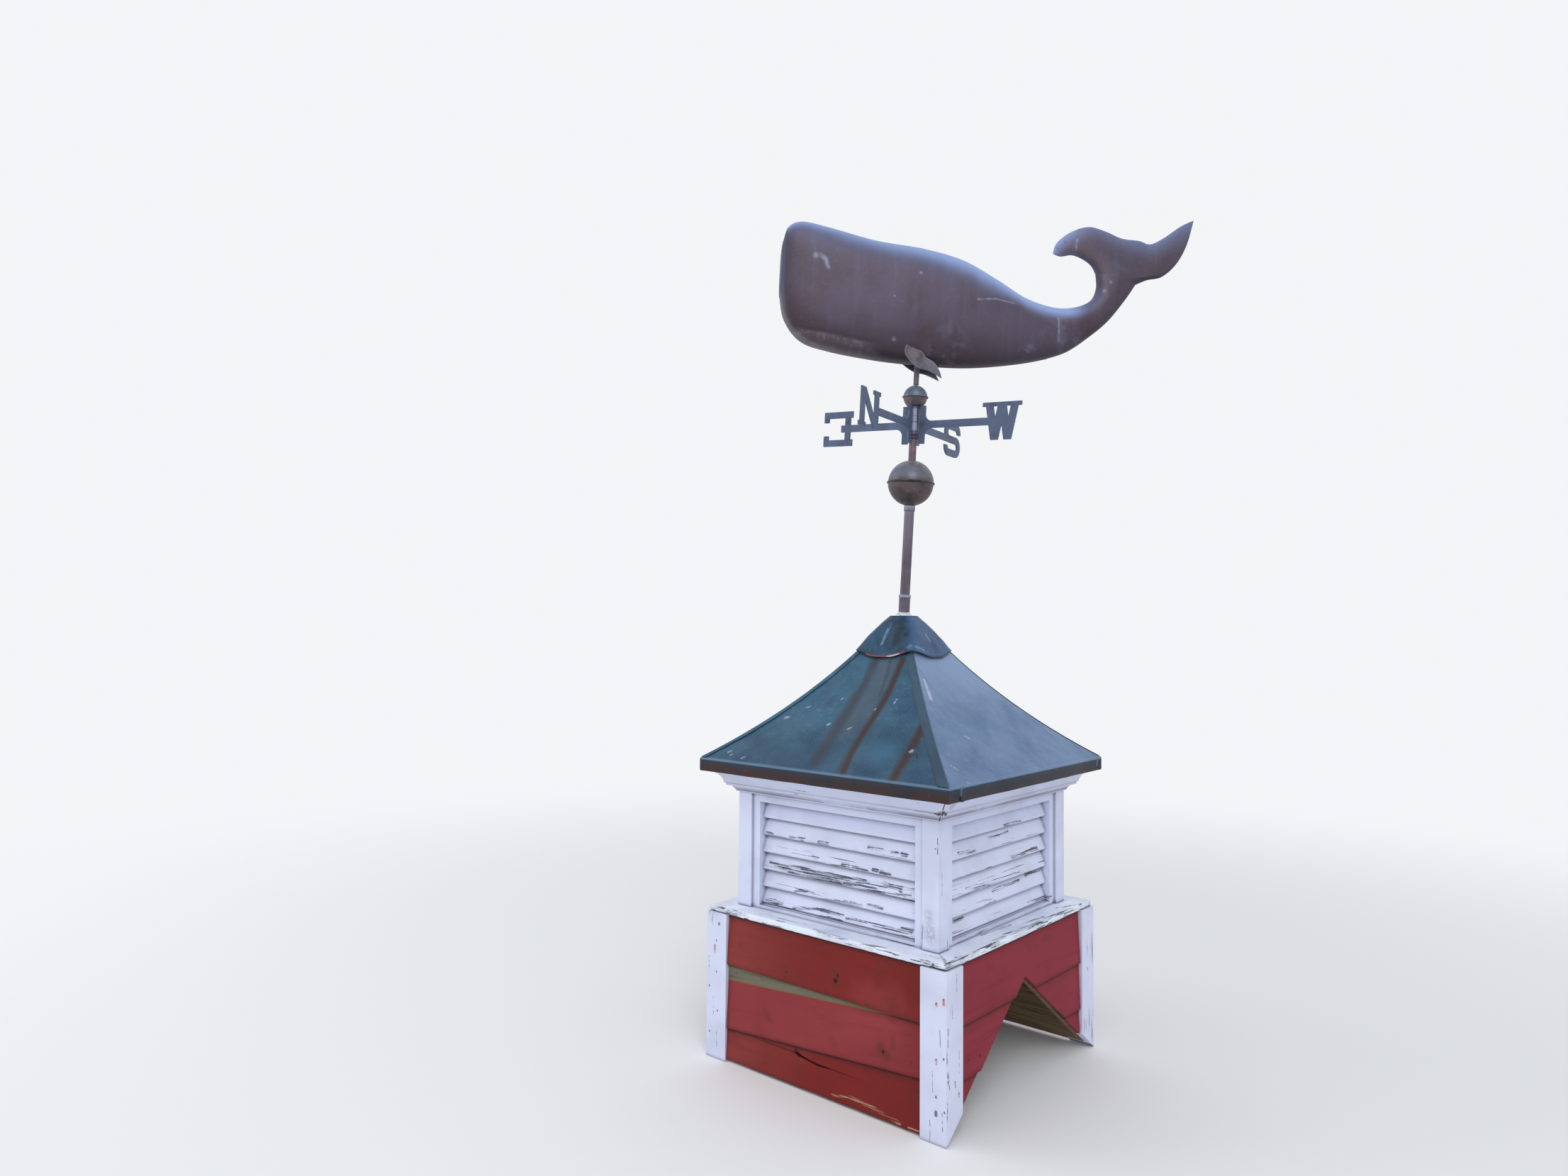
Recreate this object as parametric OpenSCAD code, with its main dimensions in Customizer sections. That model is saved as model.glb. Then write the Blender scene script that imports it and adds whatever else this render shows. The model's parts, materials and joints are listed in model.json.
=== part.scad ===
// Garage cupola: a clapboarded base cut to saddle a roof ridge, a louvred body under a
// crown moulding, a concave copper roof, and a whale weathervane above a compass cross.
// Millimetres, +Z up, the front is -Y. The origin is on the cupola's axis, level with the
// lowest points of the base. The vane's own heights are measured up its pole from the cap.

/* [Base] */
// Reach of the base's corner boards out from the posts of the louvred body
base_out = 47.5; // [36:0.5:70]
// Height from the lowest points of the base to the underside of the sill
base_h = 311; // [290:1:400]
// Rise over run of the roof that the base straddles
saddle_rise = 0.75; // [0.5:0.05:0.85]
// Thickness of the sheathing behind the clapboards
sheath_t = 12; // [9:0.5:18]
// Thickness of a corner board
corner_t = 16; // [14:0.5:20]
// Width that the corner boards show on each face
corner_w = 57; // [45:1:80]
// Height that a clapboard shows below the next one
course_h = 100; // [85:1:120]
// Width of a clapboard hidden behind the one above it
clap_lap = 38; // [36:1:50]
// Thickness of a clapboard at its lower edge
clap_butt = 12; // [9:0.5:13]
// Thickness of a clapboard at its upper edge
clap_top = 5; // [3:0.5:7]
// Height at which the lowest clapboard of the front and back ends
clap_lift = 5; // [4:1:20]
// Height at which the lowest clapboard of the two notched sides would end
gable_lift = -3; // [-10:1:10]
// Drop of the slipped front clapboard at its left end
slip_drop = 35; // [0:1:36]

/* [Sill] */
// Distance from the corner boards' faces in to the sill's edge
sill_inset = 4.5; // [0:0.5:8]
// Thickness of the sill boards
sill_t = 13; // [10:0.5:20]
// Reach of the sill boards in past the posts
sill_in = 10; // [2:0.5:20]

/* [Louvred body] */
// Width of the square body over its corner posts
body_w = 515; // [480:1:540]
// Height from the top of the sill to the underside of the eave frame
body_h = 292; // [260:1:330]
// Width and depth of a corner post
post_w = 37; // [30:1:45]
// Depth of a louvre panel's frame
panel_t = 34; // [30:1:36]
// Setback of the panels from the faces of the posts
panel_setback = 6; // [3:0.5:10]
// Width of a panel's stiles
stile_w = 20; // [14:1:30]
// Height of a panel's top rail, most of it behind the crown
top_rail_h = 64; // [56:1:72]
// Height of a panel's bottom rail
bottom_rail_h = 7; // [5:0.5:14]
// Number of slats in a panel
slats = 6; // [4:1:8]
// Thickness of a slat
slat_t = 9; // [7:0.5:11]
// Depth of a slat, measured inward
slat_run = 17; // [14:0.5:18]
// Setback of the slats' noses from the face of the panel
nose_setback = 10; // [6:0.5:10]

/* [Crown moulding] */
// Height of the moulding under the eave
crown_h = 46; // [40:1:52]
// Reach of the moulding out from the posts
crown_out = 41; // [36:0.5:46]

/* [Copper roof] */
// Reach of the eave out from the posts
eave_out = 61.5; // [55:0.5:75]
// Thickness of the eave frame, and height of the copper drip edge
eave_t = 25; // [20:1:32]
// Reach of the eave frame's boards in past the posts
frame_in = 13; // [2:0.5:20]
// Height of the copper slopes above the eave
slope_h = 262; // [230:1:300]
// Half width of the copper slopes where the cap covers their top
slope_top = 54; // [50:1:62]
// Radius of the slopes' hollow curve
slope_r = 1120; // [900:10:2000]
// Thickness of the copper sheet
copper_t = 1.5; // [1:0.1:2]
// Thickness of the wooden deck under the copper
deck_t = 12; // [9:0.5:16]
// Width at the eave of the lap that the side sheets turn over each hip
lap_w = 32; // [22:1:40]
// Width of that lap at the cap
lap_top_w = 18; // [12:1:22]
// Inward reach of the hem under the drip edge
hem_w = 10; // [5:0.5:14]

/* [Roof cap] */
// Height of the cap above the top of the copper slopes
cap_rise = 53; // [48:1:60]
// Drop of the cap's skirt below the top of the slopes at the hips
cap_skirt = 24; // [18:1:30]
// Extra drop of each scallop at the middle of a face
scallop = 13; // [8:1:18]
// Radius of the cap's flat top
cap_top_r = 30; // [26:1:34]
// Reach of the scallops' lowest points from the cap's axis
cap_foot_r = 88; // [86:0.5:94]

/* [Vane pole] */
// Lean of the vane from upright, in degrees
vane_lean = 3; // [0:0.05:5]
// Compass direction of the lean, in degrees from +X
lean_heading = 15; // [0:5:355]
// Diameter of the pole
pole_d = 22; // [18:0.5:24]
// Depth of the pole in the block under the cap
pole_in = 62; // [40:1:80]
// Length of the pole from the cap to the collar
pole_h = 234; // [200:1:280]
// Height of the sleeve at the pole's foot
sleeve_h = 40; // [25:1:60]
// Diameter of the large globe
globe_d = 102; // [80:1:120]
// Length of the tube between the large globe and the hub
neck_h = 50; // [35:1:70]
// Diameter of that tube
neck_d = 17; // [16:0.5:20]
// Height of the compass hub
hub_h = 73; // [65:1:85]
// Diameter of the small globe
small_globe_d = 53; // [44:1:60]
// Diameter of the spindle that carries the whale
spindle_d = 8; // [6:0.5:10]
// Depth of the spindle in the pole
spindle_in = 60; // [40:1:90]

/* [Compass cross] */
// Heading of the north arm, in degrees from +X
north_heading = 277.8; // [0:0.1:359.9]
// Radius at which the letters start
letter_start = 163; // [150:1:180]
// Width of the letters N, S and W
letter_w = 88; // [80:1:100]
// Width of the letter E
letter_e_w = 71; // [60:1:88]
// Height of a letter
letter_h = 81; // [75:1:95]
// Width of a letter's strokes
stroke_w = 17; // [14:0.5:19]
// Thickness of the arms and letters
plate_t = 4; // [3:0.5:6]
// Height of an arm's bar
arm_h = 16.5; // [12:0.5:18]
// Height of the plate at an arm's root
root_h = 85; // [75:1:90]
// Reach of that plate from the hub
root_w = 15; // [10:0.5:20]
// Radius of the fillets between that plate and the bar
root_fillet = 16; // [8:1:20]

/* [Whale] */
// Heading of the whale's head at rest, in degrees from +X
whale_heading = 225; // [0:5:355]
// Height of the whale's belly above the small globe
whale_clear = 45; // [40:1:60]
// Length of the whale from its head to its flukes' tips
whale_l = 936; // [850:1:990]
// Reach of the spindle up inside the whale
spindle_up = 120; // [80:1:150]
// Greatest thickness of the whale's body
whale_t = 116; // [90:1:130]
// Thickness of the whale's copper wall
whale_wall = 3; // [2:0.5:4]
// Outer diameter of the tube under the whale
tube_d = 12; // [11:0.5:14]

/* [Hidden] */

// Clearances: a fixed fit, a turning fit, and pieces that lie on each other
fit = 0.05;
turn_fit = 0.1;
seat = 0.3;
// Overshoot of a cutting tool past what it cuts
past = 20;

// Driving heights and half widths of the cupola
base_w = body_w + 2 * base_out;
base_half = base_w / 2;
sheath_half = base_half - corner_t;
sheath_in = sheath_half - sheath_t;
sill_half = base_half - sill_inset;
sill_w = base_out - sill_inset + post_w + sill_in;
sill_top = base_h + sill_t;
body_half = body_w / 2;
body_top = sill_top + body_h;
eave_half = body_half + eave_out;
frame_half = eave_half - copper_t;
frame_w = eave_out - copper_t + post_w + frame_in;
eave_top = body_top + eave_t;
slope_base = eave_top + copper_t;
slope_end = slope_base + slope_h;
cap_top = slope_end + cap_rise;

// Centre of the circle that gives the slopes their hollow curve, in half width and height
chord = [slope_top - eave_half, slope_h];
chord_len = norm(chord);
curve_back = sqrt(slope_r * slope_r - chord_len * chord_len / 4);
curve_centre = [
    (eave_half + slope_top) / 2 + curve_back * chord[1] / chord_len,
    slope_base + slope_h / 2 - curve_back * chord[0] / chord_len
];

// Heights up the vane's pole, measured from the cap
pole_r = pole_d / 2;
spindle_r = spindle_d / 2;
globe_r = globe_d / 2;
neck_r = neck_d / 2;
ball_wall = 1.5;
ball_rim = 2.5;
collar_r = pole_r + 1.5;
collar_h = 13;
collar_top = pole_h + collar_h;
globe_at = collar_top + sqrt(globe_r * globe_r - collar_r * collar_r) + fit;
neck_at = globe_at + sqrt(globe_r * globe_r - neck_r * neck_r) + fit;
hub_at = neck_at + neck_h;
hub_top = hub_at + hub_h;
hub_r = 10.5;
hub_ring_r = 13;
small_r = small_globe_d / 2;
small_foot_r = hub_ring_r + 4;
small_at = hub_top + sqrt(small_r * small_r - small_foot_r * small_foot_r) + fit;
small_top = small_at + small_r;
tube_at = small_top + 1.5;
belly_at = small_top + whale_clear;
spindle_foot = collar_top - spindle_in;
spindle_top = belly_at + spindle_up;

white = "#e4e8ee";
barn_red = "#9a3b34";
raw_wood = "#9a8c76";
patina = "#4f7f8c";
brown_copper = "#7d6a72";

// The front's pieces are turned to the other sides about the axis
module side(turn) rotate([0, 0, turn]) children();

// What is drawn for the front right corner is mirrored to another corner
module to_corner(x_sign, y_sign) {
    mirror([x_sign < 0 ? 1 : 0, 0, 0]) mirror([0, y_sign > 0 ? 1 : 0, 0]) children();
}

// Everything between the two mitre planes that meet the front face
module front_wedge(reach, z0, z1) {
    translate([0, 0, z0])
        linear_extrude(height = z1 - z0)
            polygon([[0, 0], [-reach, -reach], [reach, -reach]]);
}

// A profile drawn in distance from the axis and height, run along the front face
module along_front(length) {
    rotate([90, 0, -90])
        linear_extrude(height = length, center = true)
            children();
}

// The roof that the base straddles, as a prism along X
module saddle() {
    rotate([90, 0, 90])
        linear_extrude(height = base_w + 2 * past, center = true)
            polygon([
                [-base_half - past, -saddle_rise * past], [0, saddle_rise * base_half],
                [base_half + past, -saddle_rise * past], [base_half + past, -3 * past],
                [-base_half - past, -3 * past]
            ]);
}

// Base: sheathing

module long_wall() {
    color(raw_wood) difference() {
        translate([-sheath_half, -sheath_half, 0])
            cube([2 * sheath_half, sheath_t, base_h]);
        saddle();
    }
}

module short_wall(turn) {
    color(raw_wood) difference() {
        side(turn) translate([-sheath_in, -sheath_half, 0])
            cube([2 * sheath_in, sheath_t, base_h]);
        saddle();
    }
}

module base_wall_front() long_wall();
module base_wall_back() side(180) long_wall();
module base_wall_right() short_wall(90);
module base_wall_left() short_wall(270);

// Base: clapboards between the corner boards

clap_len = base_w - 2 * corner_w;

// One tapered board, its lower edge at the given height, its back on the sheathing
module clapboard(low, high) {
    along_front(clap_len + past)
        polygon([
            [sheath_half, low], [sheath_half + clap_butt, low],
            [sheath_half + clap_top, high], [sheath_half, high]
        ]);
}

// The boards of one face, the top one ripped to fill what is left under the sill
module board_courses(lift, slipped) {
    courses = max(2, round((base_h - lift) / course_h));
    for (i = [0 : courses - 1]) {
        low = lift + i * course_h;
        high = min(low + course_h + clap_lap, base_h);
        drop = (slipped && i == courses - 2) ? atan(slip_drop / clap_len) : 0;
        translate([clap_len / 2, 0, low]) rotate([0, -drop, 0]) translate([-clap_len / 2, 0, -low])
            clapboard(low, high);
    }
}

module clapboards(turn, lift, slipped = false) {
    color(barn_red) difference() {
        side(turn) intersection() {
            board_courses(lift, slipped);
            translate([-clap_len / 2, -base_half, 0]) cube([clap_len, base_half, base_h]);
        }
        saddle();
    }
}

module clapboards_front() clapboards(0, clap_lift, true);
module clapboards_right() clapboards(90, gable_lift);
module clapboards_back() clapboards(180, clap_lift);
module clapboards_left() clapboards(270, gable_lift);

// Base: corner boards, one on the long face and one on the short face

module corner_pair(x_sign, y_sign) {
    color(white) difference() {
        to_corner(x_sign, y_sign) union() {
            translate([base_half - corner_w, -base_half, 0])
                cube([corner_w, corner_t, base_h]);
            translate([sheath_half, -base_half, 0])
                cube([corner_t, corner_w, base_h]);
        }
        saddle();
    }
}

module corner_boards_front_right() corner_pair(1, -1);
module corner_boards_back_right() corner_pair(1, 1);
module corner_boards_back_left() corner_pair(-1, 1);
module corner_boards_front_left() corner_pair(-1, -1);

// Mitred sill boards on top of the base

module sill_board() {
    color(white) intersection() {
        translate([-sill_half, -sill_half, base_h])
            cube([2 * sill_half, sill_w, sill_t]);
        front_wedge(base_w, base_h, sill_top);
    }
}

module sill_front() side(0) sill_board();
module sill_right() side(90) sill_board();
module sill_back() side(180) sill_board();
module sill_left() side(270) sill_board();

// Corner posts

module post() {
    color(white) translate([body_half - post_w, -body_half, sill_top])
        cube([post_w, post_w, body_h]);
}

module post_front_right() side(0) post();
module post_back_right() side(90) post();
module post_back_left() side(180) post();
module post_front_left() side(270) post();

// Louvre panels: a frame between two posts, mitred behind them where two frames meet, with
// slanted slats housed in its stiles

panel_half = body_half - post_w;
panel_face = body_half - panel_setback;
slat_zone = body_h - top_rail_h - bottom_rail_h;
slat_pitch = slat_zone / slats;
nose_r = slat_t / 2;
nose_swell = 0.3;
drain_gap = 1.5;

// A slat's section: a rounded nose low at the face, swelling just past the flat board that
// runs up to its inner edge
module slat_section(low) {
    rise = slat_pitch + slat_t / 2;
    lean = atan(slat_run / rise);
    translate([panel_face - nose_r - nose_setback, low + nose_r + drain_gap]) {
        circle(r = nose_r, $fn = 48);
        rotate(lean) translate([nose_swell - nose_r, 0])
            square([slat_t - 2 * nose_swell, norm([slat_run, rise]) - slat_t / 2]);
    }
}

module louvre_panel() {
    color(white) union() {
        difference() {
            intersection() {
                translate([-panel_half, -panel_face, sill_top])
                    cube([2 * panel_half, panel_t, body_h]);
                front_wedge(base_w, sill_top, body_top);
            }
            translate([-panel_half + stile_w, -panel_face - past, sill_top + bottom_rail_h])
                cube([2 * (panel_half - stile_w), panel_t + 2 * past, slat_zone]);
        }
        intersection() {
            along_front(2 * (panel_half - stile_w / 2))
                for (i = [0 : slats - 1])
                    slat_section(sill_top + bottom_rail_h + i * slat_pitch);
            translate([-panel_half, -panel_face, sill_top])
                cube([2 * panel_half, panel_t, body_h - bottom_rail_h]);
        }
    }
}

module louvre_front() side(0) louvre_panel();
module louvre_right() side(90) louvre_panel();
module louvre_back() side(180) louvre_panel();
module louvre_left() side(270) louvre_panel();

// Crown moulding: a wide cove over a square bead and a small cove, mitred at the corners

crown_bead = 21;
crown_foot = 5;

module crown_profile() {
    low = body_top - crown_h;
    bead_low = low + 13;
    bead_top = bead_low + 6;
    lip = body_top - 4;
    cove_from = [crown_bead + 3, bead_top];
    cove_to = [crown_out, lip];
    run = cove_to - cove_from;
    cove_r = norm(run) * 1.1;
    back = sqrt(cove_r * cove_r - norm(run) * norm(run) / 4);
    middle = (cove_from + cove_to) / 2;
    hollow = middle + back * [run[1], -run[0]] / norm(run);
    translate([body_half, 0]) difference() {
        polygon([
            [0, low], [crown_foot, low], [crown_foot, low + 3], [crown_bead - 7, bead_low],
            [crown_bead, bead_low], [crown_bead, bead_top], cove_from, cove_to,
            [crown_out, body_top], [0, body_top]
        ]);
        translate(hollow) circle(r = cove_r, $fn = 96);
    }
}

module crown() {
    color(white) intersection() {
        along_front(2 * (body_half + crown_out) + past) crown_profile();
        front_wedge(base_w, body_top - crown_h - 1, body_top);
    }
}

module crown_front() side(0) crown();
module crown_right() side(90) crown();
module crown_back() side(180) crown();
module crown_left() side(270) crown();

// Eave frame on the posts and panels

module eave_frame() {
    color(raw_wood) difference() {
        translate([-frame_half, -frame_half, body_top])
            cube([2 * frame_half, 2 * frame_half, eave_t]);
        translate([-frame_half + frame_w, -frame_half + frame_w, body_top - 1])
            cube([2 * (frame_half - frame_w), 2 * (frame_half - frame_w), eave_t + 2]);
    }
}

// Half section of the hollow-curved roof, its slopes set in by a depth below the copper
module slope_section(depth, foot, top) {
    difference() {
        translate([-eave_half, foot]) square([2 * eave_half, top - foot]);
        for (s = [-1, 1])
            translate([s * curve_centre[0], curve_centre[1]])
                circle(r = slope_r + depth, $fn = 200);
    }
}

// The solid under the four slopes, down to a foot and up to a top
module hipped(depth, foot, top) {
    intersection() {
        rotate([90, 0, 0]) linear_extrude(height = 2 * eave_half, center = true)
            slope_section(depth, foot, top);
        rotate([90, 0, 90]) linear_extrude(height = 2 * eave_half, center = true)
            slope_section(depth, foot, top);
    }
}

// Wooden deck: four curved panels on the eave frame, mitred at the hips
deck_peak = slope_end - 40;

module deck_panel() {
    color(raw_wood) intersection() {
        rotate([90, 0, 90]) linear_extrude(height = 2 * frame_half, center = true) difference() {
            slope_section(copper_t + seat, eave_top, deck_peak);
            slope_section(copper_t + seat + deck_t, eave_top - 1, deck_peak + 1);
        }
        translate([-frame_half, -frame_half, eave_top]) cube([2 * frame_half, frame_half, slope_h]);
        front_wedge(base_w, eave_top, deck_peak);
    }
}

module deck_front() side(0) deck_panel();
module deck_right() side(90) deck_panel();
module deck_back() side(180) deck_panel();
module deck_left() side(270) deck_panel();

// Block on the deck's peak, which holds the pole and carries the cap
module peak_block() {
    color(raw_wood) difference() {
        union() {
            hipped(copper_t + seat, deck_peak, slope_end);
            translate([0, 0, slope_end - 1])
                cylinder(r = cap_top_r - 5, h = cap_rise + 1 - copper_t - seat);
        }
        on_pole() translate([0, 0, -slope_h]) cylinder(r = pole_r + turn_fit, h = slope_h + past);
    }
}

// Copper slopes with a drip edge, its hem, and laps from the sides over the hips

// Plan of the laps: a strip beside each hip, on the front and back slopes
module lap_plan() {
    for (x_sign = [-1, 1]) for (y_sign = [-1, 1]) to_corner(x_sign, y_sign)
        polygon([
            [slope_top - lap_top_w, -slope_top], [eave_half - lap_w, -eave_half],
            [eave_half, -eave_half], [slope_top, -slope_top]
        ]);
}

module copper_roof() {
    low = body_top - copper_t;
    color(patina) difference() {
        union() {
            hipped(0, low, slope_end);
            intersection() {
                hipped(-copper_t, slope_base, slope_end);
                translate([0, 0, slope_base]) linear_extrude(height = slope_h) lap_plan();
            }
        }
        intersection() {
            hipped(copper_t, body_top, slope_end + 1);
            translate([-frame_half, -frame_half, body_top])
                cube([2 * frame_half, 2 * frame_half, eave_t + slope_h + past]);
        }
        translate([-frame_half + hem_w, -frame_half + hem_w, low - 1])
            cube([2 * (frame_half - hem_w), 2 * (frame_half - hem_w), 2 * copper_t + 1]);
    }
}

// Roof cap: a spun copper cone, dressed square over the hips, with a scalloped skirt

cap_rings = 8;
cap_sides = 64;

cap_h = cap_rise + cap_skirt + scallop;
// How much the cone's side swells out between its top and its foot
cap_swell = 0.27;

// Distance from the axis to the cap's face at a drop below its top
function cap_apothem(d) =
    let (u = d / cap_h)
    cap_top_r + (cap_foot_r - cap_top_r) * u * (1 + cap_swell * (1 - u));
// Squareness of the cap at that drop: 2 is a circle
function cap_square(d) = 2 + 8 * d / cap_h;
function cap_radius(d, a) =
    let (p = cap_square(d))
    cap_apothem(d) / pow(pow(abs(cos(a)), p) + pow(abs(sin(a)), p), 1 / p);
// Full drop of the skirt, deepest at the middle of each face
function cap_depth(a) = cap_rise + cap_skirt + scallop * (1 - pow(sin(2 * a), 4));
function cap_point(k, i, inset) =
    let (a = 360 * i / cap_sides, d = cap_depth(a) * k / cap_rings, r = cap_radius(d, a) - inset)
    [r * cos(a), r * sin(a), cap_top - d - (k == 0 ? inset : 0)];

// A closed skin over rings of points, all rings with the same number of points
function ring_faces(rings, n) = [
    for (k = [0 : rings - 2]) for (i = [0 : n - 1])
        let (j = (i + 1) % n, a = k * n + i, b = k * n + j, c = a + n, e = b + n)
        each [[a, c, b], [b, c, e]]
];
function end_face(k, n) = [for (i = [0 : n - 1]) k * n + i];
function turned(face) = [for (i = [len(face) - 1 : -1 : 0]) face[i]];

module cap_skin() {
    outer = [for (k = [0 : cap_rings]) for (i = [0 : cap_sides - 1]) cap_point(k, i, 0)];
    inner = [for (k = [cap_rings : -1 : 0]) for (i = [0 : cap_sides - 1]) cap_point(k, i, copper_t)];
    rings = 2 * cap_rings + 2;
    polyhedron(
        points = concat(outer, inner),
        faces = concat(
            [turned(end_face(0, cap_sides))], ring_faces(rings, cap_sides),
            [end_face(rings - 1, cap_sides)]
        )
    );
}

module roof_cap() {
    color(patina) difference() {
        cap_skin();
        on_pole() translate([0, 0, -past]) cylinder(r = pole_r + seat, h = 2 * past);
    }
}

// The vane stands on the cap and leans as one piece

module on_pole() {
    translate([0, 0, cap_top]) rotate([0, 0, lean_heading]) rotate([0, vane_lean, 0])
        rotate([0, 0, -lean_heading]) children();
}

module vane_pole() {
    sleeve_r = pole_r + 1.5;
    ring_r = pole_r + 2.5;
    color(brown_copper) on_pole() rotate_extrude($fn = 96) polygon([
        [pole_r - 2, -pole_in], [pole_r, -pole_in], [pole_r, 1], [sleeve_r, 1],
        [sleeve_r, sleeve_h], [ring_r, sleeve_h], [ring_r, sleeve_h + 7], [pole_r, sleeve_h + 7],
        [pole_r, pole_h], [collar_r, pole_h], [collar_r, collar_top],
        [spindle_r + fit, collar_top], [spindle_r + fit, spindle_foot], [pole_r - 2, spindle_foot]
    ]);
}

module spindle() {
    color("silver") on_pole() translate([0, 0, spindle_foot])
        cylinder(r = spindle_r, h = spindle_top - spindle_foot);
}

// A hollow ball of two spun halves, their rims folded together round the middle, with flat
// ends of the radii of what it meets below and above
module ball(at, r, foot_r, head_r, rim_h) {
    low = sqrt(r * r - foot_r * foot_r);
    high = sqrt(r * r - head_r * head_r);
    on_pole() translate([0, 0, at]) difference() {
        union() {
            intersection() {
                sphere(r = r, $fn = 96);
                translate([0, 0, -low]) cylinder(r = 2 * r, h = low + high);
            }
            translate([0, 0, -rim_h / 2]) cylinder(r = r + ball_rim, h = rim_h);
        }
        intersection() {
            sphere(r = r - ball_wall, $fn = 96);
            translate([0, 0, ball_wall - low]) cylinder(r = r, h = low + high - 2 * ball_wall);
        }
        translate([0, 0, -2 * r]) cylinder(r = spindle_r + fit, h = 4 * r);
    }
}

module globe() color(brown_copper) ball(globe_at, globe_r, collar_r, neck_r, 3);
module small_globe() color(brown_copper) ball(small_at, small_r, small_foot_r, spindle_r, 2.5);

module neck_tube() {
    color("#8f4a3c") on_pole() translate([0, 0, neck_at]) difference() {
        cylinder(r = neck_r, h = neck_h - fit);
        translate([0, 0, -1]) cylinder(r = spindle_r + fit, h = neck_h + 2);
    }
}

// Hub with two ring bands at its foot and one at its head, between the roots of the arms
module hub() {
    band = 5;
    groove = 3;
    color(brown_copper) on_pole() translate([0, 0, hub_at]) rotate_extrude($fn = 96) polygon([
        [spindle_r + fit, 0], [hub_ring_r, 0], [hub_ring_r, band], [hub_r, band],
        [hub_r, band + groove], [hub_ring_r, band + groove], [hub_ring_r, 2 * band + groove],
        [hub_r, 2 * band + groove], [hub_r, hub_h - band], [hub_ring_r, hub_h - band],
        [hub_ring_r, hub_h], [spindle_r + fit, hub_h]
    ]);
}

// Compass arms: an upright plate with a tall root at the hub and a letter at its end

arm_at = hub_top - root_h / 2;
arm_from = hub_ring_r + fit;

// Points along an arc, from one angle to another
arc_steps = 10;
function arc(centre, r, from, to) =
    [for (k = [0 : arc_steps]) let (a = from + (to - from) * k / arc_steps) centre + r * [cos(a), sin(a)]];

// The bar and its root plate, which a fillet joins above and below
module arm_bar(reach) {
    edge = arm_from + root_w;
    lower = concat(
        [[arm_from, -root_h / 2], [edge, -root_h / 2]],
        arc([edge + root_fillet, -arm_h / 2 - root_fillet], root_fillet, 180, 90),
        [[letter_start + reach, -arm_h / 2]]
    );
    polygon(concat(lower, [for (p = turned(lower)) [p[0], -p[1]]]));
}

// Reach of a serif past its stroke, its height, and the reach of the E's middle past its stem
serif = 6;
serif_h = 9;
e_middle = 10;

// A slanted stroke from one point to a higher one, cut level at both ends
module bar(x0, y0, x1, y1, w) {
    polygon([[x0 - w / 2, y0], [x0 + w / 2, y0], [x1 + w / 2, y1], [x1 - w / 2, y1]]);
}

// The E's outer ends are turned in towards its middle
stem_w = stroke_w * 0.85;

module letter_e() {
    end_w = 13;
    end_h = 25;
    square([stem_w, letter_h]);
    for (y = [0, letter_h - stroke_w * 0.9]) translate([-serif, y])
        square([letter_e_w + serif, stroke_w * 0.9]);
    for (y = [0, letter_h - end_h]) translate([letter_e_w - end_w, y]) square([end_w, end_h]);
}

// The N faces the side on which the arm runs to the left
module letter_n() {
    inner = serif;
    outer = letter_w - serif - stroke_w;
    for (x = [inner, outer]) translate([x, 0]) square([stroke_w, letter_h]);
    bar(inner + stroke_w / 2, 0, outer + stroke_w / 2, letter_h, stroke_w * 1.15);
    for (p = [[inner, letter_h - serif_h], [outer, 0]]) translate([p[0] - serif, p[1]])
        square([stroke_w + 2 * serif, serif_h]);
}

module letter_w_shape() {
    head = stroke_w + 2 * serif;
    step = (letter_w - head) / 4;
    for (x = [head / 2, head / 2 + 2 * step]) {
        bar(x + step, 0, x, letter_h, stroke_w);
        bar(x + step, 0, x + 2 * step, letter_h, stroke_w);
    }
    for (k = [0 : 2]) translate([2 * step * k, letter_h - serif_h]) square([head, serif_h]);
}

// The S is half an outline and its half turn
module letter_s() {
    r = (letter_h + stroke_w) / 4;
    half = concat(
        arc([r, r], r, 180, 270),
        arc([letter_w - r, r], r, 270, 450),
        arc([r, letter_h - r], r - stroke_w, 270, 90),
        arc([letter_w - r, letter_h - r], r - stroke_w, 90, 0)
    );
    polygon(concat(half, [for (p = half) [letter_w, letter_h] - p]));
}

module arm(turn, reach) {
    color(brown_copper) on_pole() translate([0, 0, arm_at]) rotate([0, 0, north_heading - turn])
        rotate([90, 0, 0]) linear_extrude(height = plate_t, center = true) {
            arm_bar(reach);
            translate([letter_start, -letter_h / 2]) children();
        }
}

module arm_north() arm(0, serif + stroke_w / 2) letter_n();
module arm_east() arm(90, stem_w + e_middle) letter_e();
module arm_south() arm(180, letter_w * 0.3) letter_s();
module arm_west() arm(270, letter_w * 0.25) letter_w_shape();

// Whale: a lofted hollow body on a tube that turns on the spindle

// Smooth curve through points, one unit of t to a point
function curve_at(p, t) =
    let (
        n = len(p) - 1, i = min(n - 1, max(0, floor(t))), u = t - i,
        a = p[max(0, i - 1)], b = p[i], c = p[i + 1], d = p[min(n, i + 2)]
    )
    b + u * (c - a) / 2 + u * u * (a - 2.5 * b + 2 * c - d / 2) + u * u * u * ((d - a) / 2 + 1.5 * (b - c));

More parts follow.
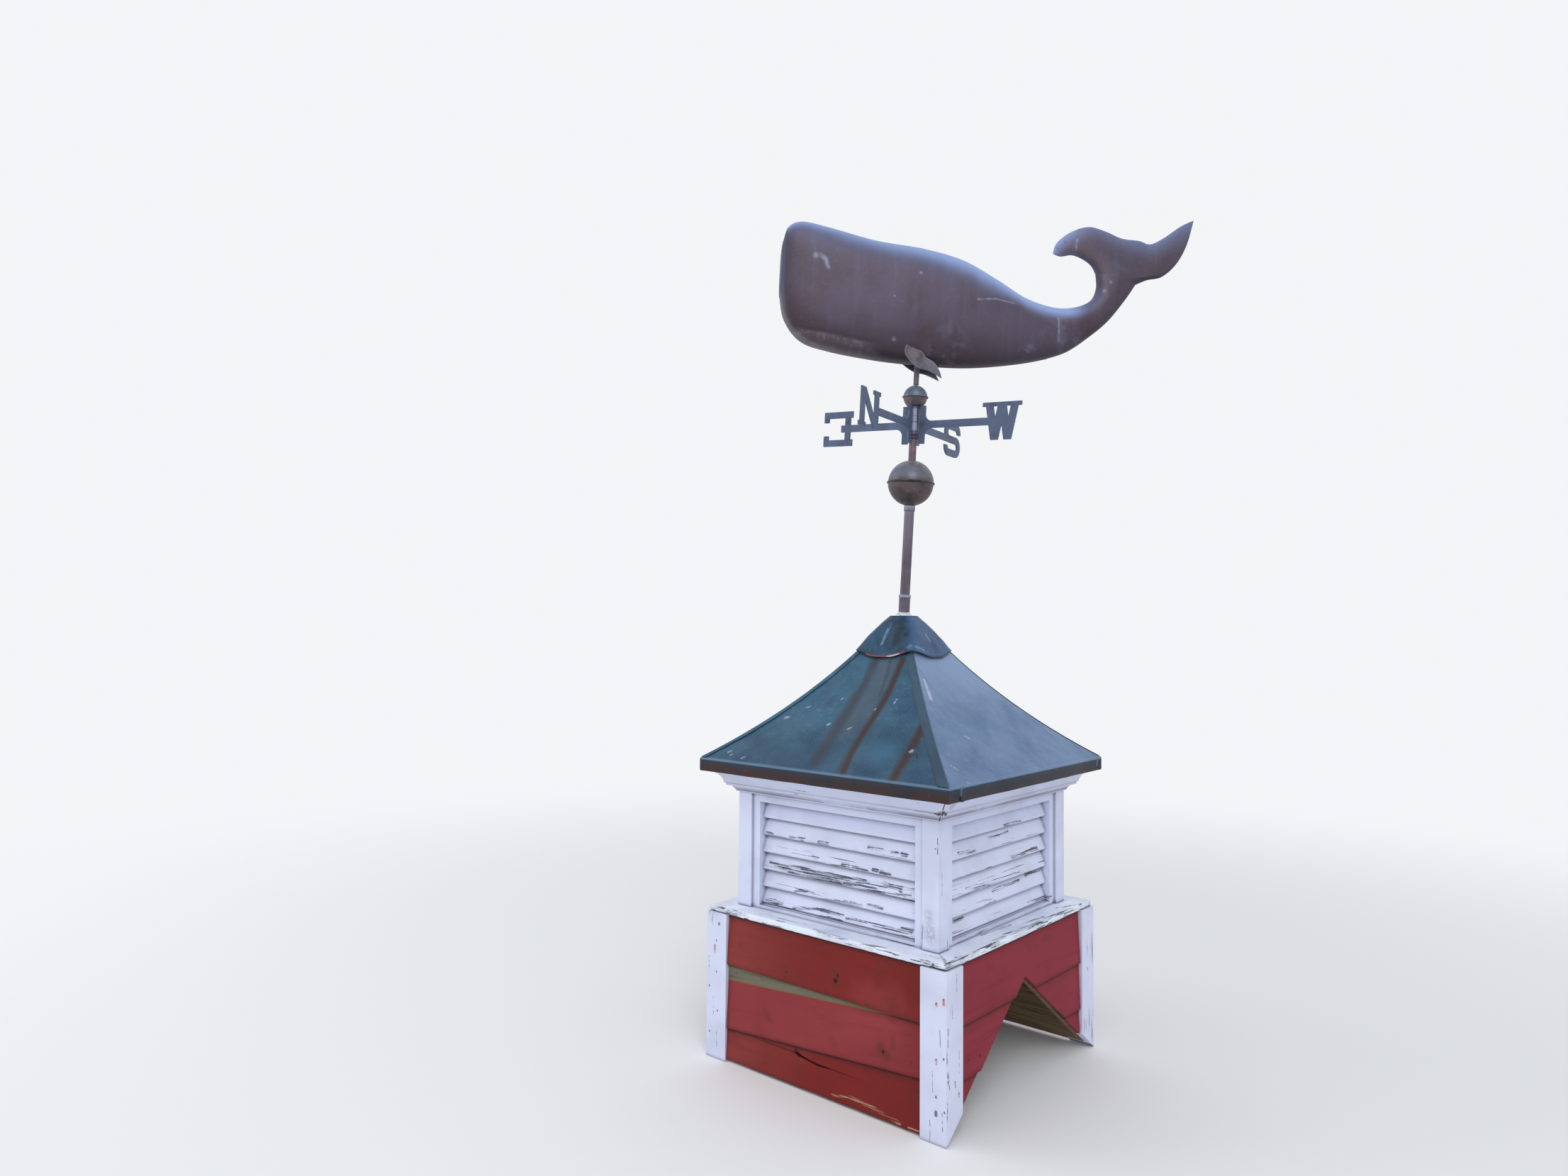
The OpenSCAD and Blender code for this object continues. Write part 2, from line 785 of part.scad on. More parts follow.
// Sections from head to tail: back x, back z, belly x, belly z, half thickness as a share,
// squareness. x is ahead of the tube, z above the belly's lowest point.
sections = [
    [319, 255, 319, 135, 0.60, 5],
    [309, 285, 306, 85, 0.80, 4.5],
    [279, 299, 268, 40, 0.92, 4],
    [220, 292, 205, 21, 0.98, 3.4],
    [110, 272, 100, 7, 1.00, 2.8],
    [0, 263, -5, 1, 0.99, 2.5],
    [-90, 244, -105, 2, 0.94, 2.4],
    [-170, 207, -195, 13, 0.84, 2.3],
    [-240, 170, -275, 30, 0.70, 2.2],
    [-305, 154, -340, 53, 0.56, 2.1],
    [-355, 158, -393, 92, 0.46, 2],
    [-392, 176, -436, 132, 0.39, 2],
    [-405, 206, -473, 182, 0.33, 2],
    [-402, 239, -497, 221, 0.29, 2]
];
body_steps = 39;
body_sides = 32;
// The sections and outlines are drawn for a whale of this length
drawn_l = 946;
whale_size = whale_l / drawn_l;

function section_point(t, i, inset) =
    let (
        s = curve_at(sections, t), a = 360 * i / body_sides, top = [s[0], s[1]], low = [s[2], s[3]],
        half = norm(top - low) / 2, axis = (top - low) / (2 * half), mid = (top + low) / 2,
        p = s[5], c = cos(a), n = sin(a),
        up = sign(c) * pow(abs(c), 2 / p) * (half - inset),
        out = sign(n) * pow(abs(n), 2 / p) * (s[4] * whale_t / 2 / whale_size - inset)
    )
    [mid[0] + axis[0] * up, out, mid[1] + axis[1] * up];

module body_loft(t0, t1, steps, inset) {
    points = [
        for (k = [0 : steps]) for (i = [0 : body_sides - 1])
            section_point(t0 + (t1 - t0) * k / steps, i, inset)
    ];
    polyhedron(
        points = points,
        faces = concat(
            [end_face(0, body_sides)],
            [for (f = ring_faces(steps + 1, body_sides)) turned(f)],
            [turned(end_face(steps, body_sides))]
        )
    );
}

// The whale's own frame: x ahead, z up from its belly, on the leaning pole
module on_whale() {
    on_pole() rotate([0, 0, whale_heading]) translate([0, 0, belly_at]) scale(whale_size) children();
}

module whale_tube() {
    color(brown_copper) on_pole() difference() {
        translate([0, 0, tube_at]) cylinder(d = tube_d, h = spindle_top + 10 - tube_at);
        translate([0, 0, tube_at - 1])
            cylinder(r = spindle_r + turn_fit, h = spindle_top + seat - tube_at + 1);
    }
}

module whale_body() {
    last = len(sections) - 1;
    color(brown_copper) difference() {
        on_whale() difference() {
            body_loft(0, last, body_steps, 0);
            body_loft(0.5, last - 1.5, body_steps - 9, whale_wall / whale_size);
        }
        on_pole() translate([0, 0, tube_at])
            cylinder(d = tube_d + 2 * fit, h = (spindle_top + belly_at) / 2 - tube_at);
    }
}

// Flukes: a patch stretched between four smooth edges, thickest at the tail's seam
fluke_left = [[-402, 239], [-391, 257], [-372, 270], [-345, 278], [-318, 273], [-300, 278]];
fluke_top = [
    [-300, 278], [-308, 304], [-340, 331], [-381, 346], [-422, 338], [-460, 325], [-500, 323],
    [-527, 317], [-558, 334], [-597, 364], [-627, 380]
];
fluke_right = [[-497, 221], [-524, 234], [-558, 244], [-590, 275], [-613, 321], [-627, 380]];
fluke_u = body_sides / 2;
fluke_v = 14;

function fluke_point(i, j) =
    let (
        u = (1 - cos(180 * i / fluke_u)) / 2, v = j / fluke_v,
        seam = fluke_left[0] * (1 - u) + fluke_right[0] * u,
        top = curve_at(fluke_top, (len(fluke_top) - 1) * u),
        left = curve_at(fluke_left, (len(fluke_left) - 1) * v),
        right = curve_at(fluke_right, (len(fluke_right) - 1) * v),
        flat = (fluke_left[0] * (1 - u) + fluke_right[0] * u) * (1 - v)
            + (fluke_top[0] * (1 - u) + fluke_top[len(fluke_top) - 1] * u) * v
    )
    seam * (1 - v) + top * v + left * (1 - u) + right * u - flat;

function fluke_half(i, j) =
    let (h = sections[len(sections) - 1][4] * whale_t / 2 / whale_size)
    h * sin(180 * i / fluke_u) * pow(1 - j / fluke_v, 0.6);

module whale_flukes() {
    n = fluke_u + 1;
    rows = fluke_v + 1;
    // Front sheet, then the inner points of the back sheet
    front = [for (j = [0 : fluke_v]) for (i = [0 : fluke_u])
        let (p = fluke_point(i, j)) [p[0], fluke_half(i, j), p[1]]];
    back = [for (j = [0 : fluke_v - 1]) for (i = [1 : fluke_u - 1])
        let (p = fluke_point(i, j)) [p[0], -fluke_half(i, j), p[1]]];
    function f(i, j) = j * n + i;
    function b(i, j) = (i == 0 || i == fluke_u || j == fluke_v)
        ? f(i, j) : rows * n + j * (n - 2) + i - 1;
    // A cell's two triangles, its diagonal kept out of the sheet's corners
    function cell(a, b, c, d, i) = i < fluke_u / 2 ? [[a, c, b], [b, c, d]] : [[a, c, d], [a, d, b]];
    color(brown_copper) on_whale() polyhedron(
        points = concat(front, back),
        faces = concat(
            [for (j = [0 : fluke_v - 1]) for (i = [0 : fluke_u - 1])
                each cell(f(i, j), f(i + 1, j), f(i, j + 1), f(i + 1, j + 1), i)],
            [for (j = [0 : fluke_v - 1]) for (i = [0 : fluke_u - 1])
                for (t = cell(b(i, j), b(i + 1, j), b(i, j + 1), b(i + 1, j + 1), i)) turned(t)],
            [concat([for (i = [0 : fluke_u]) f(i, 0)], [for (i = [fluke_u - 1 : -1 : 1]) b(i, 0)])]
        )
    );
}

// Fins: swept-back plates that slope in below the belly, drawn in x and drop along the plate
fin_t = 4;
fin_tilt = 25;
fin_root = [46, 40];
fin_trail = [[-4, -14], [-5, 11], [-13, 29], [-32, 40], [-48, 59], [-55, 76]];
fin_lead = [[-55, 76], [-24, 61], [4, 54], [30, 33], [38, 11], [38, -14]];
fin_steps = 15;

function fin_edge(p) = [for (k = [0 : fin_steps]) curve_at(p, (len(p) - 1) * k / fin_steps)];

module fin_outline() {
    polygon([for (p = concat(fin_edge(fin_trail), fin_edge(fin_lead))) [p[0], -p[1]]]);
}

module whale_fins() {
    color(brown_copper) on_whale() difference() {
        for (s = [-1, 1])
            translate([0, s * fin_root[0], fin_root[1]]) rotate([90 - s * fin_tilt, 0, 0])
                linear_extrude(height = fin_t, center = true) fin_outline();
        body_loft(2, 8, 18, -0.2);
    }
}

base_wall_front();
base_wall_right();
base_wall_back();
base_wall_left();
clapboards_front();
clapboards_right();
clapboards_back();
clapboards_left();
corner_boards_front_right();
corner_boards_back_right();
corner_boards_back_left();
corner_boards_front_left();
sill_front();
sill_right();
sill_back();
sill_left();
post_front_right();
post_back_right();
post_back_left();
post_front_left();
louvre_front();
louvre_right();
louvre_back();
louvre_left();
crown_front();
crown_right();
crown_back();
crown_left();
eave_frame();
deck_front();
deck_right();
deck_back();
deck_left();
peak_block();
copper_roof();
roof_cap();
vane_pole();
spindle();
globe();
neck_tube();
hub();
arm_north();
arm_east();
arm_south();
arm_west();
small_globe();
whale_tube();
whale_body();
whale_flukes();
whale_fins();
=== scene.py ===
import json
import math

import bmesh
import bpy
import numpy as np
from mathutils import Matrix, Vector, noise


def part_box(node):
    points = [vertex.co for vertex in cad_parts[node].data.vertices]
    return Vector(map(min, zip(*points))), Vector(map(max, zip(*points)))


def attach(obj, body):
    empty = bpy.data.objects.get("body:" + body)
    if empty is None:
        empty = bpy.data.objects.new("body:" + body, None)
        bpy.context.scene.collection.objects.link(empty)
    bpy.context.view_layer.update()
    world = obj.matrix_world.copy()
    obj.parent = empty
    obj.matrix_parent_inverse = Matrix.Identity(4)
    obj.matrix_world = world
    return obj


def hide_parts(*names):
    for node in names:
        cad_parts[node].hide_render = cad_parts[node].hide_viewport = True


# Looks of the garage cupola. Shapes are drawn in millimetres, in the frame's axes, and scaled
# to metres as each piece is made. The front is -Y; a side is named by its turn about the axis.

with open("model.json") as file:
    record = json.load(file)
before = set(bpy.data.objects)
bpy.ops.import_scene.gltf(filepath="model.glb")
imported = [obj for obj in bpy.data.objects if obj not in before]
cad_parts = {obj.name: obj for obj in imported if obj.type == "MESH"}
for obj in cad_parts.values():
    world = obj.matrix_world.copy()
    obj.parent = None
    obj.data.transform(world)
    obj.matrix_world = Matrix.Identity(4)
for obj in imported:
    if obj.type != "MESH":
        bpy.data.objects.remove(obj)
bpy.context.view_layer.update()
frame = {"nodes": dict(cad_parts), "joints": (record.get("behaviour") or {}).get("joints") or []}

MM = 0.001
FRONT, RIGHT, BACK, LEFT = 0, 90, 180, 270
SIDES = {"front": FRONT, "right": RIGHT, "back": BACK, "left": LEFT}


def mm_box(node):
    """Lowest and highest corner of a CAD node in millimetres."""
    low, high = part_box(node)
    return Vector(low) / MM, Vector(high) / MM


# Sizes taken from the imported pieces
BASE_HALF, _, BASE_TOP = mm_box("corner_boards_front_right")[1]
SHEATH_HALF = -mm_box("base_wall_front")[0].y
CLAP_HALF = mm_box("clapboards_front")[1].x
SILL_HALF, _, SILL_TOP = mm_box("sill_front")[1]
SILL_INNER = -mm_box("sill_front")[1].y
BODY_HALF, _, BODY_TOP = mm_box("post_front_right")[1]
PANEL_FACE = -mm_box("louvre_front")[0].y
CROWN_HALF = mm_box("crown_front")[1].x
CROWN_LOW = mm_box("crown_front")[0].z
EAVE_HALF, _, SLOPE_END = mm_box("copper_roof")[1]
HEM_LOW = mm_box("copper_roof")[0].z
CAP_TOP = mm_box("roof_cap")[1].z

# Sizes that the boxes don't give
SADDLE_RISE = 0.75  # rise of the garage roof for each unit towards its ridge
COURSE = 100  # height of a clapboard that shows
CLAP_LAP = 38
CLAP_BUTT = 12  # a clapboard's thickness at its lower edge
CLAP_EDGE = 5  # and at its upper edge
FRONT_LIFT = 5  # height of the lowest course's foot, front and back
GABLE_LIFT = -3  # and at the sides, where the saddle cuts it
SLIP = 35  # how far the slipped board's left end has come down
RAIL = 7  # a louvre panel's bottom rail
HEAD_RAIL = 64  # and its top rail, most of it behind the crown
SLAT_HALF = 200.5
COPPER = 1.5  # thickness of the cap's sheet
SLOPE_BASE = 642.5
SLOPE_TOP_HALF = 54  # half width of the slopes at their top
SLOPE_RADIUS = 1120  # of their hollow
CAP_DISC = 30  # half width of the cap's flat top
CAP_FOOT = 88  # and of its foot
CAP_SWELL = 0.27
CAP_SKIRT = 24  # how far the cap hangs below the slopes' top, at the hips
SCALLOP = 13  # and how much further its lobes hang


# Colours

def srgb(r, g, b):
    """Linear colour of an 8-bit screen colour."""
    return tuple(
        v / 12.92 if v <= 0.04045 else ((v + 0.055) / 1.055) ** 2.4
        for v in (r / 255, g / 255, b / 255)
    )


WHITE = srgb(216, 222, 246)
WHITE_DULL = srgb(190, 195, 216)
PAINT_CRACK = srgb(54, 58, 76)
BARE_GREY = srgb(144, 147, 164)
GRIME_AND_SHADE = srgb(106, 98, 112)
RUST_SPOT = srgb(176, 92, 78)
RED = srgb(142, 54, 58)
RED_DEEP = srgb(98, 30, 34)
RED_BROWN = srgb(96, 44, 36)
WOOD = srgb(142, 120, 94)
WOOD_DARK = srgb(70, 56, 46)
KNOT_AND_SHADOW = srgb(48, 30, 28)
STREAK = srgb(46, 48, 60)
RUN_BROWN = srgb(50, 28, 24)
MAUVE = srgb(94, 82, 96)
MAUVE_LIGHT = srgb(122, 116, 134)
MAUVE_DARK = srgb(62, 52, 62)
SHEEN_BLUE = srgb(134, 152, 192)
PLATE = srgb(82, 94, 120)
RED_COPPER = srgb(106, 86, 98)
CAULK = srgb(214, 216, 226)


# The colour sockets of a mix node
MIX_SHARE, MIX_FIRST, MIX_SECOND, MIX_RESULT = 0, 6, 7, 2


class Num:
    """A number at each point of a surface. Arithmetic on it adds math nodes."""

    def __init__(self, graph, socket):
        self.graph, self.socket = graph, socket

    def __add__(self, other):
        return self.graph.math("ADD", self, other)

    def __sub__(self, other):
        return self.graph.math("SUBTRACT", self, other)

    def __rsub__(self, other):
        return self.graph.math("SUBTRACT", other, self)

    def __mul__(self, other):
        return self.graph.math("MULTIPLY", self, other)

    def __truediv__(self, other):
        return self.graph.math("DIVIDE", self, other)

    def __abs__(self):
        return self.graph.math("ABSOLUTE", self)


class Graph:
    """One material, the short calls that build its nodes, and its colour as laid so far.

    Places are in metres.
    """

    def __init__(self, name):
        self.material = bpy.data.materials.new(name)
        self.material.use_nodes = True
        self.tree = self.material.node_tree
        self.tree.nodes.clear()
        self.shader = self.add("ShaderNodeBsdfPrincipled")
        self.out = self.add("ShaderNodeOutputMaterial")
        self.plug(self.shader.outputs[0], self.out.inputs["Surface"])
        self.place = self.add("ShaderNodeTexCoord").outputs["Object"]
        split = self.add("ShaderNodeSeparateXYZ")
        self.plug(self.place, split.inputs[0])
        self.x, self.y, self.z = (Num(self, s) for s in split.outputs)
        self.colour = None

    def add(self, kind, **settings):
        node = self.tree.nodes.new(kind)
        for key, value in settings.items():
            setattr(node, key, value)
        return node

    def plug(self, value, socket):
        value = value.socket if isinstance(value, Num) else value
        if isinstance(value, bpy.types.NodeSocket):
            self.tree.links.new(value, socket)
        elif socket.type == "RGBA":
            socket.default_value = (*value[:3], 1)
        else:
            socket.default_value = value

    def math(self, operation, *values):
        node = self.add("ShaderNodeMath", operation=operation)
        for value, socket in zip(values, node.inputs):
            self.plug(value, socket)
        return Num(self, node.outputs[0])

    def clamped(self, value):
        node = self.add("ShaderNodeClamp")
        self.plug(value, node.inputs["Value"])
        return Num(self, node.outputs[0])

    def vector(self, operation, *values, scale=None):
        node = self.add("ShaderNodeVectorMath", operation=operation)
        for value, socket in zip(values, node.inputs):
            self.plug(value, socket)
        if scale is not None:
            self.plug(scale, node.inputs["Scale"])
        single = operation in ("DOT_PRODUCT", "DISTANCE", "LENGTH")
        return Num(self, node.outputs["Value"]) if single else node.outputs["Vector"]

    def joined(self, x, y, z):
        node = self.add("ShaderNodeCombineXYZ")
        for value, socket in zip((x, y, z), node.inputs):
            self.plug(value, socket)
        return node.outputs[0]

    def mark(self, name):
        """A number that the piece's mesh carries at its points."""
        node = self.add("ShaderNodeAttribute", attribute_name=name)
        return Num(self, node.outputs["Fac"])

    def step(self, value, low, high):
        """0 up to low, 1 from high on, smooth between; low may be the larger."""
        node = self.add("ShaderNodeMapRange", interpolation_type="SMOOTHSTEP")
        self.plug(value, node.inputs["Value"])
        self.plug(low, node.inputs["From Min"])
        self.plug(high, node.inputs["From Max"])
        return Num(self, node.outputs["Result"])

    def noise(self, scale, detail=4, rough=0.55, at=None, shift=0.0):
        """Noise from 0 to 1, its scale given for each axis."""
        size = scale if isinstance(scale, tuple) else (scale,) * 3
        shifts = (shift, shift * 0.7, shift * 1.3)
        place = self.vector("MULTIPLY_ADD", at or self.place, size, shifts)
        node = self.add("ShaderNodeTexNoise")
        self.plug(place, node.inputs["Vector"])
        self.plug(1.0, node.inputs["Scale"])
        self.plug(float(detail), node.inputs["Detail"])
        self.plug(rough, node.inputs["Roughness"])
        return Num(self, node.outputs["Fac"])

    def cells(self, scale):
        """Distance to the nearest of a scatter of points, in cell sizes."""
        node = self.add("ShaderNodeTexVoronoi")
        self.plug(self.place, node.inputs["Vector"])
        self.plug(scale, node.inputs["Scale"])
        return Num(self, node.outputs["Distance"])

    def crevice_shade(self, reach):
        """Painted shade: 1 deep in a corner or under an edge, 0 in the open; reach is in millimetres."""
        node = self.add("ShaderNodeAmbientOcclusion", samples=6)
        self.plug(reach * MM, node.inputs["Distance"])
        return self.step(Num(self, node.outputs["AO"]), 0.85, 0.3)

    def upward(self):
        """1 where the surface faces up, -1 where it faces down."""
        normal = self.add("ShaderNodeNewGeometry").outputs["Normal"]
        return self.vector("DOT_PRODUCT", normal, (0.0, 0.0, 1.0))

    def mix(self, first, second, share):
        node = self.add("ShaderNodeMix", data_type="RGBA")
        self.plug(share, node.inputs[MIX_SHARE])
        self.plug(first, node.inputs[MIX_FIRST])
        self.plug(second, node.inputs[MIX_SECOND])
        return node.outputs[MIX_RESULT]

    def coat(self, colour, share):
        """Lays a colour over the material's own, by a share from 0 to 1."""
        self.colour = self.mix(self.colour, colour, share)

    def greatest(self, masks):
        total = masks[0]
        for mask in masks[1:]:
            total = self.math("MAXIMUM", total, mask)
        return total

    def gap(self, start, end, at):
        """Distance in metres from the line between two points in millimetres."""
        a, b = Vector(start) * MM, Vector(end) * MM
        way = b - a
        rel = self.vector("SUBTRACT", at, tuple(a))
        share = self.vector("DOT_PRODUCT", rel, tuple(way / way.length_squared))
        foot = self.vector("SCALE", tuple(way), scale=self.clamped(share))
        return self.vector("DISTANCE", rel, foot)

    def patch(self, start, end, half, soft, at=None):
        """1 near the line between two points, or near one where end is None.

        half is how far it reaches, in millimetres like the points, and soft is the share of
        that by which its rim fades inward and outward.
        """
        at = at or self.place
        if end is None:
            far = self.vector("DISTANCE", at, tuple(c * MM for c in start))
        else:
            far = self.gap(start, end, at)
        return self.step(far, half * (1 + soft) * MM, half * (1 - soft) * MM)

    def patches(self, rows, at=None):
        """1 in any of several patches: from, to or None, half width and softness."""
        return self.greatest([self.patch(*row, at=at) for row in rows])

    def spot(self, centre, radius, soft=0.45):
        """1 inside a ball of that radius in millimetres, with a soft rim."""
        return self.patch(centre, None, radius, soft)

    def stroke(self, start, end, half, soft=0.4):
        """1 beside the line between two points in millimetres, to half a width."""
        return self.patch(start, end, half, soft)

    def cracks(self, lines, at):
        """1 on any of several lines in a plane, ragged and fading: two points and a half width."""
        rag = (self.noise(150, detail=3, shift=6.6) - 0.5) * 5
        least = None
        for ax, ay, bx, by, half in lines:
            far = self.gap((ax, ay, 0), (bx, by, 0), at) - half * MM
            least = far if least is None else self.math("MINIMUM", least, far)
        return self.step(least / MM + rag, 4.2, -0.8)

    def finish(self, roughness, height=None, metal=0.0, specular=0.5):
        """Puts the colour and the rest on the shader; height is the relief in millimetres."""
        if height is not None:
            bump = self.add("ShaderNodeBump")
            self.plug(height, bump.inputs["Height"])
            self.plug(MM, bump.inputs["Distance"])
            self.plug(bump.outputs[0], self.shader.inputs["Normal"])
        self.plug(self.colour, self.shader.inputs["Base Color"])
        self.plug(roughness, self.shader.inputs["Roughness"])
        self.plug(metal, self.shader.inputs["Metallic"])
        self.plug(specular, self.shader.inputs["Specular IOR Level"])
        return self.material


# Painted wood

ALONG_X = (1.0, 40.0, 40.0)
ALONG_Y = (40.0, 1.0, 40.0)
ALONG_Z = (40.0, 40.0, 1.0)


def scaled(grain, size):
    return tuple(g * size for g in grain)


# Colour and softness of each kind of mark
MARK_LOOKS = {
    "rust": (RUST_SPOT, 0.8), "nail": (srgb(84, 68, 74), 0.5), "crack": (PAINT_CRACK, 0.5),
    "scuff": (srgb(150, 148, 166), 0.9), "gap": (srgb(52, 36, 38), 0.5),
    "stain": (srgb(170, 146, 130), 0.9),
}


def white_paint(name, grain, worn=None, marks=(), lines=None, base=WHITE, grooves=False):
    """White paint that cracks along the wood's grain where it is worn.

    worn makes the number that says how worn each point is, marks are rust spots, nail heads and
    the like as (kind, start, end or None, half width), all in millimetres, and lines makes a
    mask of cracks at their own places. grooves is for a mesh that carries the mark groove.
    """
    g = Graph(name)
    mottle = g.noise(9, detail=3)
    streaks = g.noise(scaled(grain, 7), detail=6, rough=0.66)
    fine = g.noise(scaled(grain, 16), detail=4, rough=0.6, shift=3.1)
    zone = worn(g) if worn else g.step(g.noise(7, detail=2, shift=8.2), 0.55, 0.7) * 0.4
    crack = g.step(streaks + zone * 0.2, 0.64, 0.68) * g.step(zone, 0.02, 0.2)
    bare = g.step(fine + zone * 0.24, 0.66, 0.76) * g.step(zone, 0.2, 0.6)
    g.colour = g.mix(base, WHITE_DULL, g.step(mottle, 0.42, 0.72) * 0.5)
    # Painted shade, with grime, in corners and under edges
    g.coat(GRIME_AND_SHADE, g.crevice_shade(12) * 0.9)
    if grooves:
        g.coat(GRIME_AND_SHADE, g.mark("groove") * g.step(mottle, 0.2, 0.5) * 0.8)
    g.coat(BARE_GREY, bare * 0.6)
    if lines:
        near = lines(g)
        g.coat(BARE_GREY, near * g.step(fine, 0.36, 0.56) * 0.42)
        split = g.step(fine + near * 0.17, 0.62, 0.7) * g.step(near, 0.02, 0.3)
        crack = g.math("MAXIMUM", crack, split)
    g.coat(PAINT_CRACK, crack * 0.9)
    height = fine * 0.12 + crack * -0.5 + bare * -0.2
    for kind, start, end, half in marks:
        tint, soft = MARK_LOOKS[kind]
        mask = g.patch(start, end, half, soft)
        if kind in ("crack", "scuff", "gap", "rust"):
            mask = mask * g.step(g.noise(160, detail=3), 0.34, 0.56)
        if kind == "scuff":
            mask = mask * g.step(mottle, 0.35, 0.65) * 0.7
        g.coat(tint, mask * (0.6 if kind == "stain" else 0.85))
        if kind == "rust":
            g.coat(srgb(96, 42, 36), g.spot(start, half * 0.7) * 0.85)
        height = height + mask * -0.4
    return g.finish(0.55, height, specular=0.35)


# How worn each slat is, from the lowest up, and which one is cracked
SLAT_WEAR = [0.4, 0.45, 0.7, 0.42, 0.36, 0.05]
CRACKED_SLAT = 2


def slat_wear(front):
    """How worn the slats' noses are, most of all on the cracked one."""
    zone_low = (SILL_TOP + RAIL) * MM
    pitch = (BODY_TOP - HEAD_RAIL - SILL_TOP - RAIL) / len(SLAT_WEAR) * MM

    def worn(g):
        out = g.math("MAXIMUM", abs(g.x), abs(g.y))
        side = g.math("MINIMUM", abs(g.x), abs(g.y))
        ramp = g.add("ShaderNodeValToRGB")
        ramp.color_ramp.interpolation = "CONSTANT"
        g.plug((g.z - zone_low) / (pitch * len(SLAT_WEAR)), ramp.inputs[0])
        stops = ramp.color_ramp.elements
        stops[0].position = 0.0
        while len(stops) < len(SLAT_WEAR):
            stops.new(len(stops) / len(SLAT_WEAR))
        for i, (stop, wear) in enumerate(zip(stops, SLAT_WEAR)):
            stop.position = i / len(SLAT_WEAR)
            stop.color = (wear if front else wear * 0.75,) * 3 + (1,)
        weight = Num(g, ramp.outputs[0])
        nose = g.step(out, (PANEL_FACE - 18) * MM, (PANEL_FACE - 12) * MM)
        slat = g.step(side, (SLAT_HALF + 0.5) * MM, (SLAT_HALF - 1.5) * MM)
        grain = scaled(ALONG_X if front else ALONG_Y, 4)
        patch = g.step(g.noise(grain, detail=2, shift=1.7), 0.34, 0.62)
        rest = nose * weight * (patch * 0.75 + 0.1)
        split_low = zone_low + CRACKED_SLAT * pitch
        whole = g.step(g.z, split_low - 0.001, split_low + 0.003)
        whole = whole * g.step(g.z, split_low + 0.03, split_low + 0.02)
        run = g.step(g.x, -0.21, -0.06) * 0.4 + 0.16 if front else 0.2
        deep = g.step(out, (PANEL_FACE - 28) * MM, (PANEL_FACE - 22) * MM)
        return g.math("MAXIMUM", rest, whole * run * deep) * slat

    return worn


def sill_wear(g):
    """Paint is off the sill along its outer edges."""
    out = g.math("MAXIMUM", abs(g.x), abs(g.y))
    edge = g.step(out, (SILL_HALF - 12) * MM, (SILL_HALF - 1) * MM)
    patch = g.step(g.noise(12, detail=3, shift=5.3), 0.38, 0.66)
    return edge * (patch * 0.34 + 0.16) + patch * 0.1


def post_wear(g):
    """Scuffs low on the posts."""
    low = g.step(g.z, (SILL_TOP + 90) * MM, (SILL_TOP + 20) * MM)
    return low * g.step(g.noise(18, detail=3, shift=2.2), 0.5, 0.68) * 0.5


def crown_wear(g):
    return g.step(g.noise(16, detail=3, shift=6.1), 0.6, 0.8) * 0.25


# Cracks in the paint seen in the photograph: on the front's slats as x, z to x, z, on the right's
# as y, z, and on the sill's top as x, y, each with its half width
FRONT_CRACKS = [
    (-191, 486, -172, 484, 1.0), (-123, 485, -89, 483, 1.8), (-103, 486, -84, 488, 1.0),
    (-47, 485, -21, 485, 1.3), (81, 493, 115, 494, 1.3), (137, 492, 151, 492, 1.2),
    (162, 491, 172, 490, 2.8), (-64, 454, -48, 453, 1.1), (16, 450, 34, 450, 1.5),
    (42, 449, 82, 447, 0.8), (93, 451, 105, 451, 1.1), (112, 449, 136, 448, 1.2),
    (-13, 443, 26, 447, 1.0), (-108, 375, -77, 378, 0.8), (-31, 369, 65, 376, 1.7),
    (80, 378, 115, 378, 1.6), (-190, 341, -165, 343, 1.5), (-185, 336, -145, 342, 1.8),
    (-113, 339, -36, 347, 0.7), (-42, 346, 17, 347, 1.2), (-42, 335, 17, 336, 0.9),
    (27, 342, 151, 344, 0.9), (125, 342, 184, 345, 1.6), (161, 348, 186, 350, 1.2),
    (-183, 422, -131, 419, 1.2), (-145, 418, -89, 413, 1.3), (-125, 412, -116, 412, 2.2),
    (-114, 409, -42, 408, 1.2), (-94, 422, -10, 424, 1.1), (-86, 415, -10, 414, 1.8),
    (-86, 411, 14, 409, 1.2), (-10, 423, 72, 425, 1.2), (-6, 416, 14, 409, 2.4),
    (21, 413, 102, 414, 1.4), (52, 418, 82, 418, 1.8), (90, 419, 160, 426, 1.3),
    (157, 422, 160, 415, 2.2), (55, 406, 184, 415, 1.2), (102, 406, 186, 405, 1.2),
]
RIGHT_CRACKS = [
    (-158, 490, -96, 487, 1.3), (-133, 444, -89, 443, 1.2), (-52, 444, -35, 444, 1.2),
    (18, 521, 88, 521, 1.2), (52, 450, 165, 452, 1.6), (-166, 405, -100, 406, 1.8),
    (21, 404, 47, 405, 1.4), (125, 398, 191, 401, 2.0), (-166, 358, -129, 361, 1.2),
    (125, 341, 208, 340, 1.8), (-87, 368, -17, 372, 0.8), (-35, 502, 48, 504, 0.8),
    (-17, 392, 95, 394, 1.2), (-129, 417, -44, 410, 0.8),
]
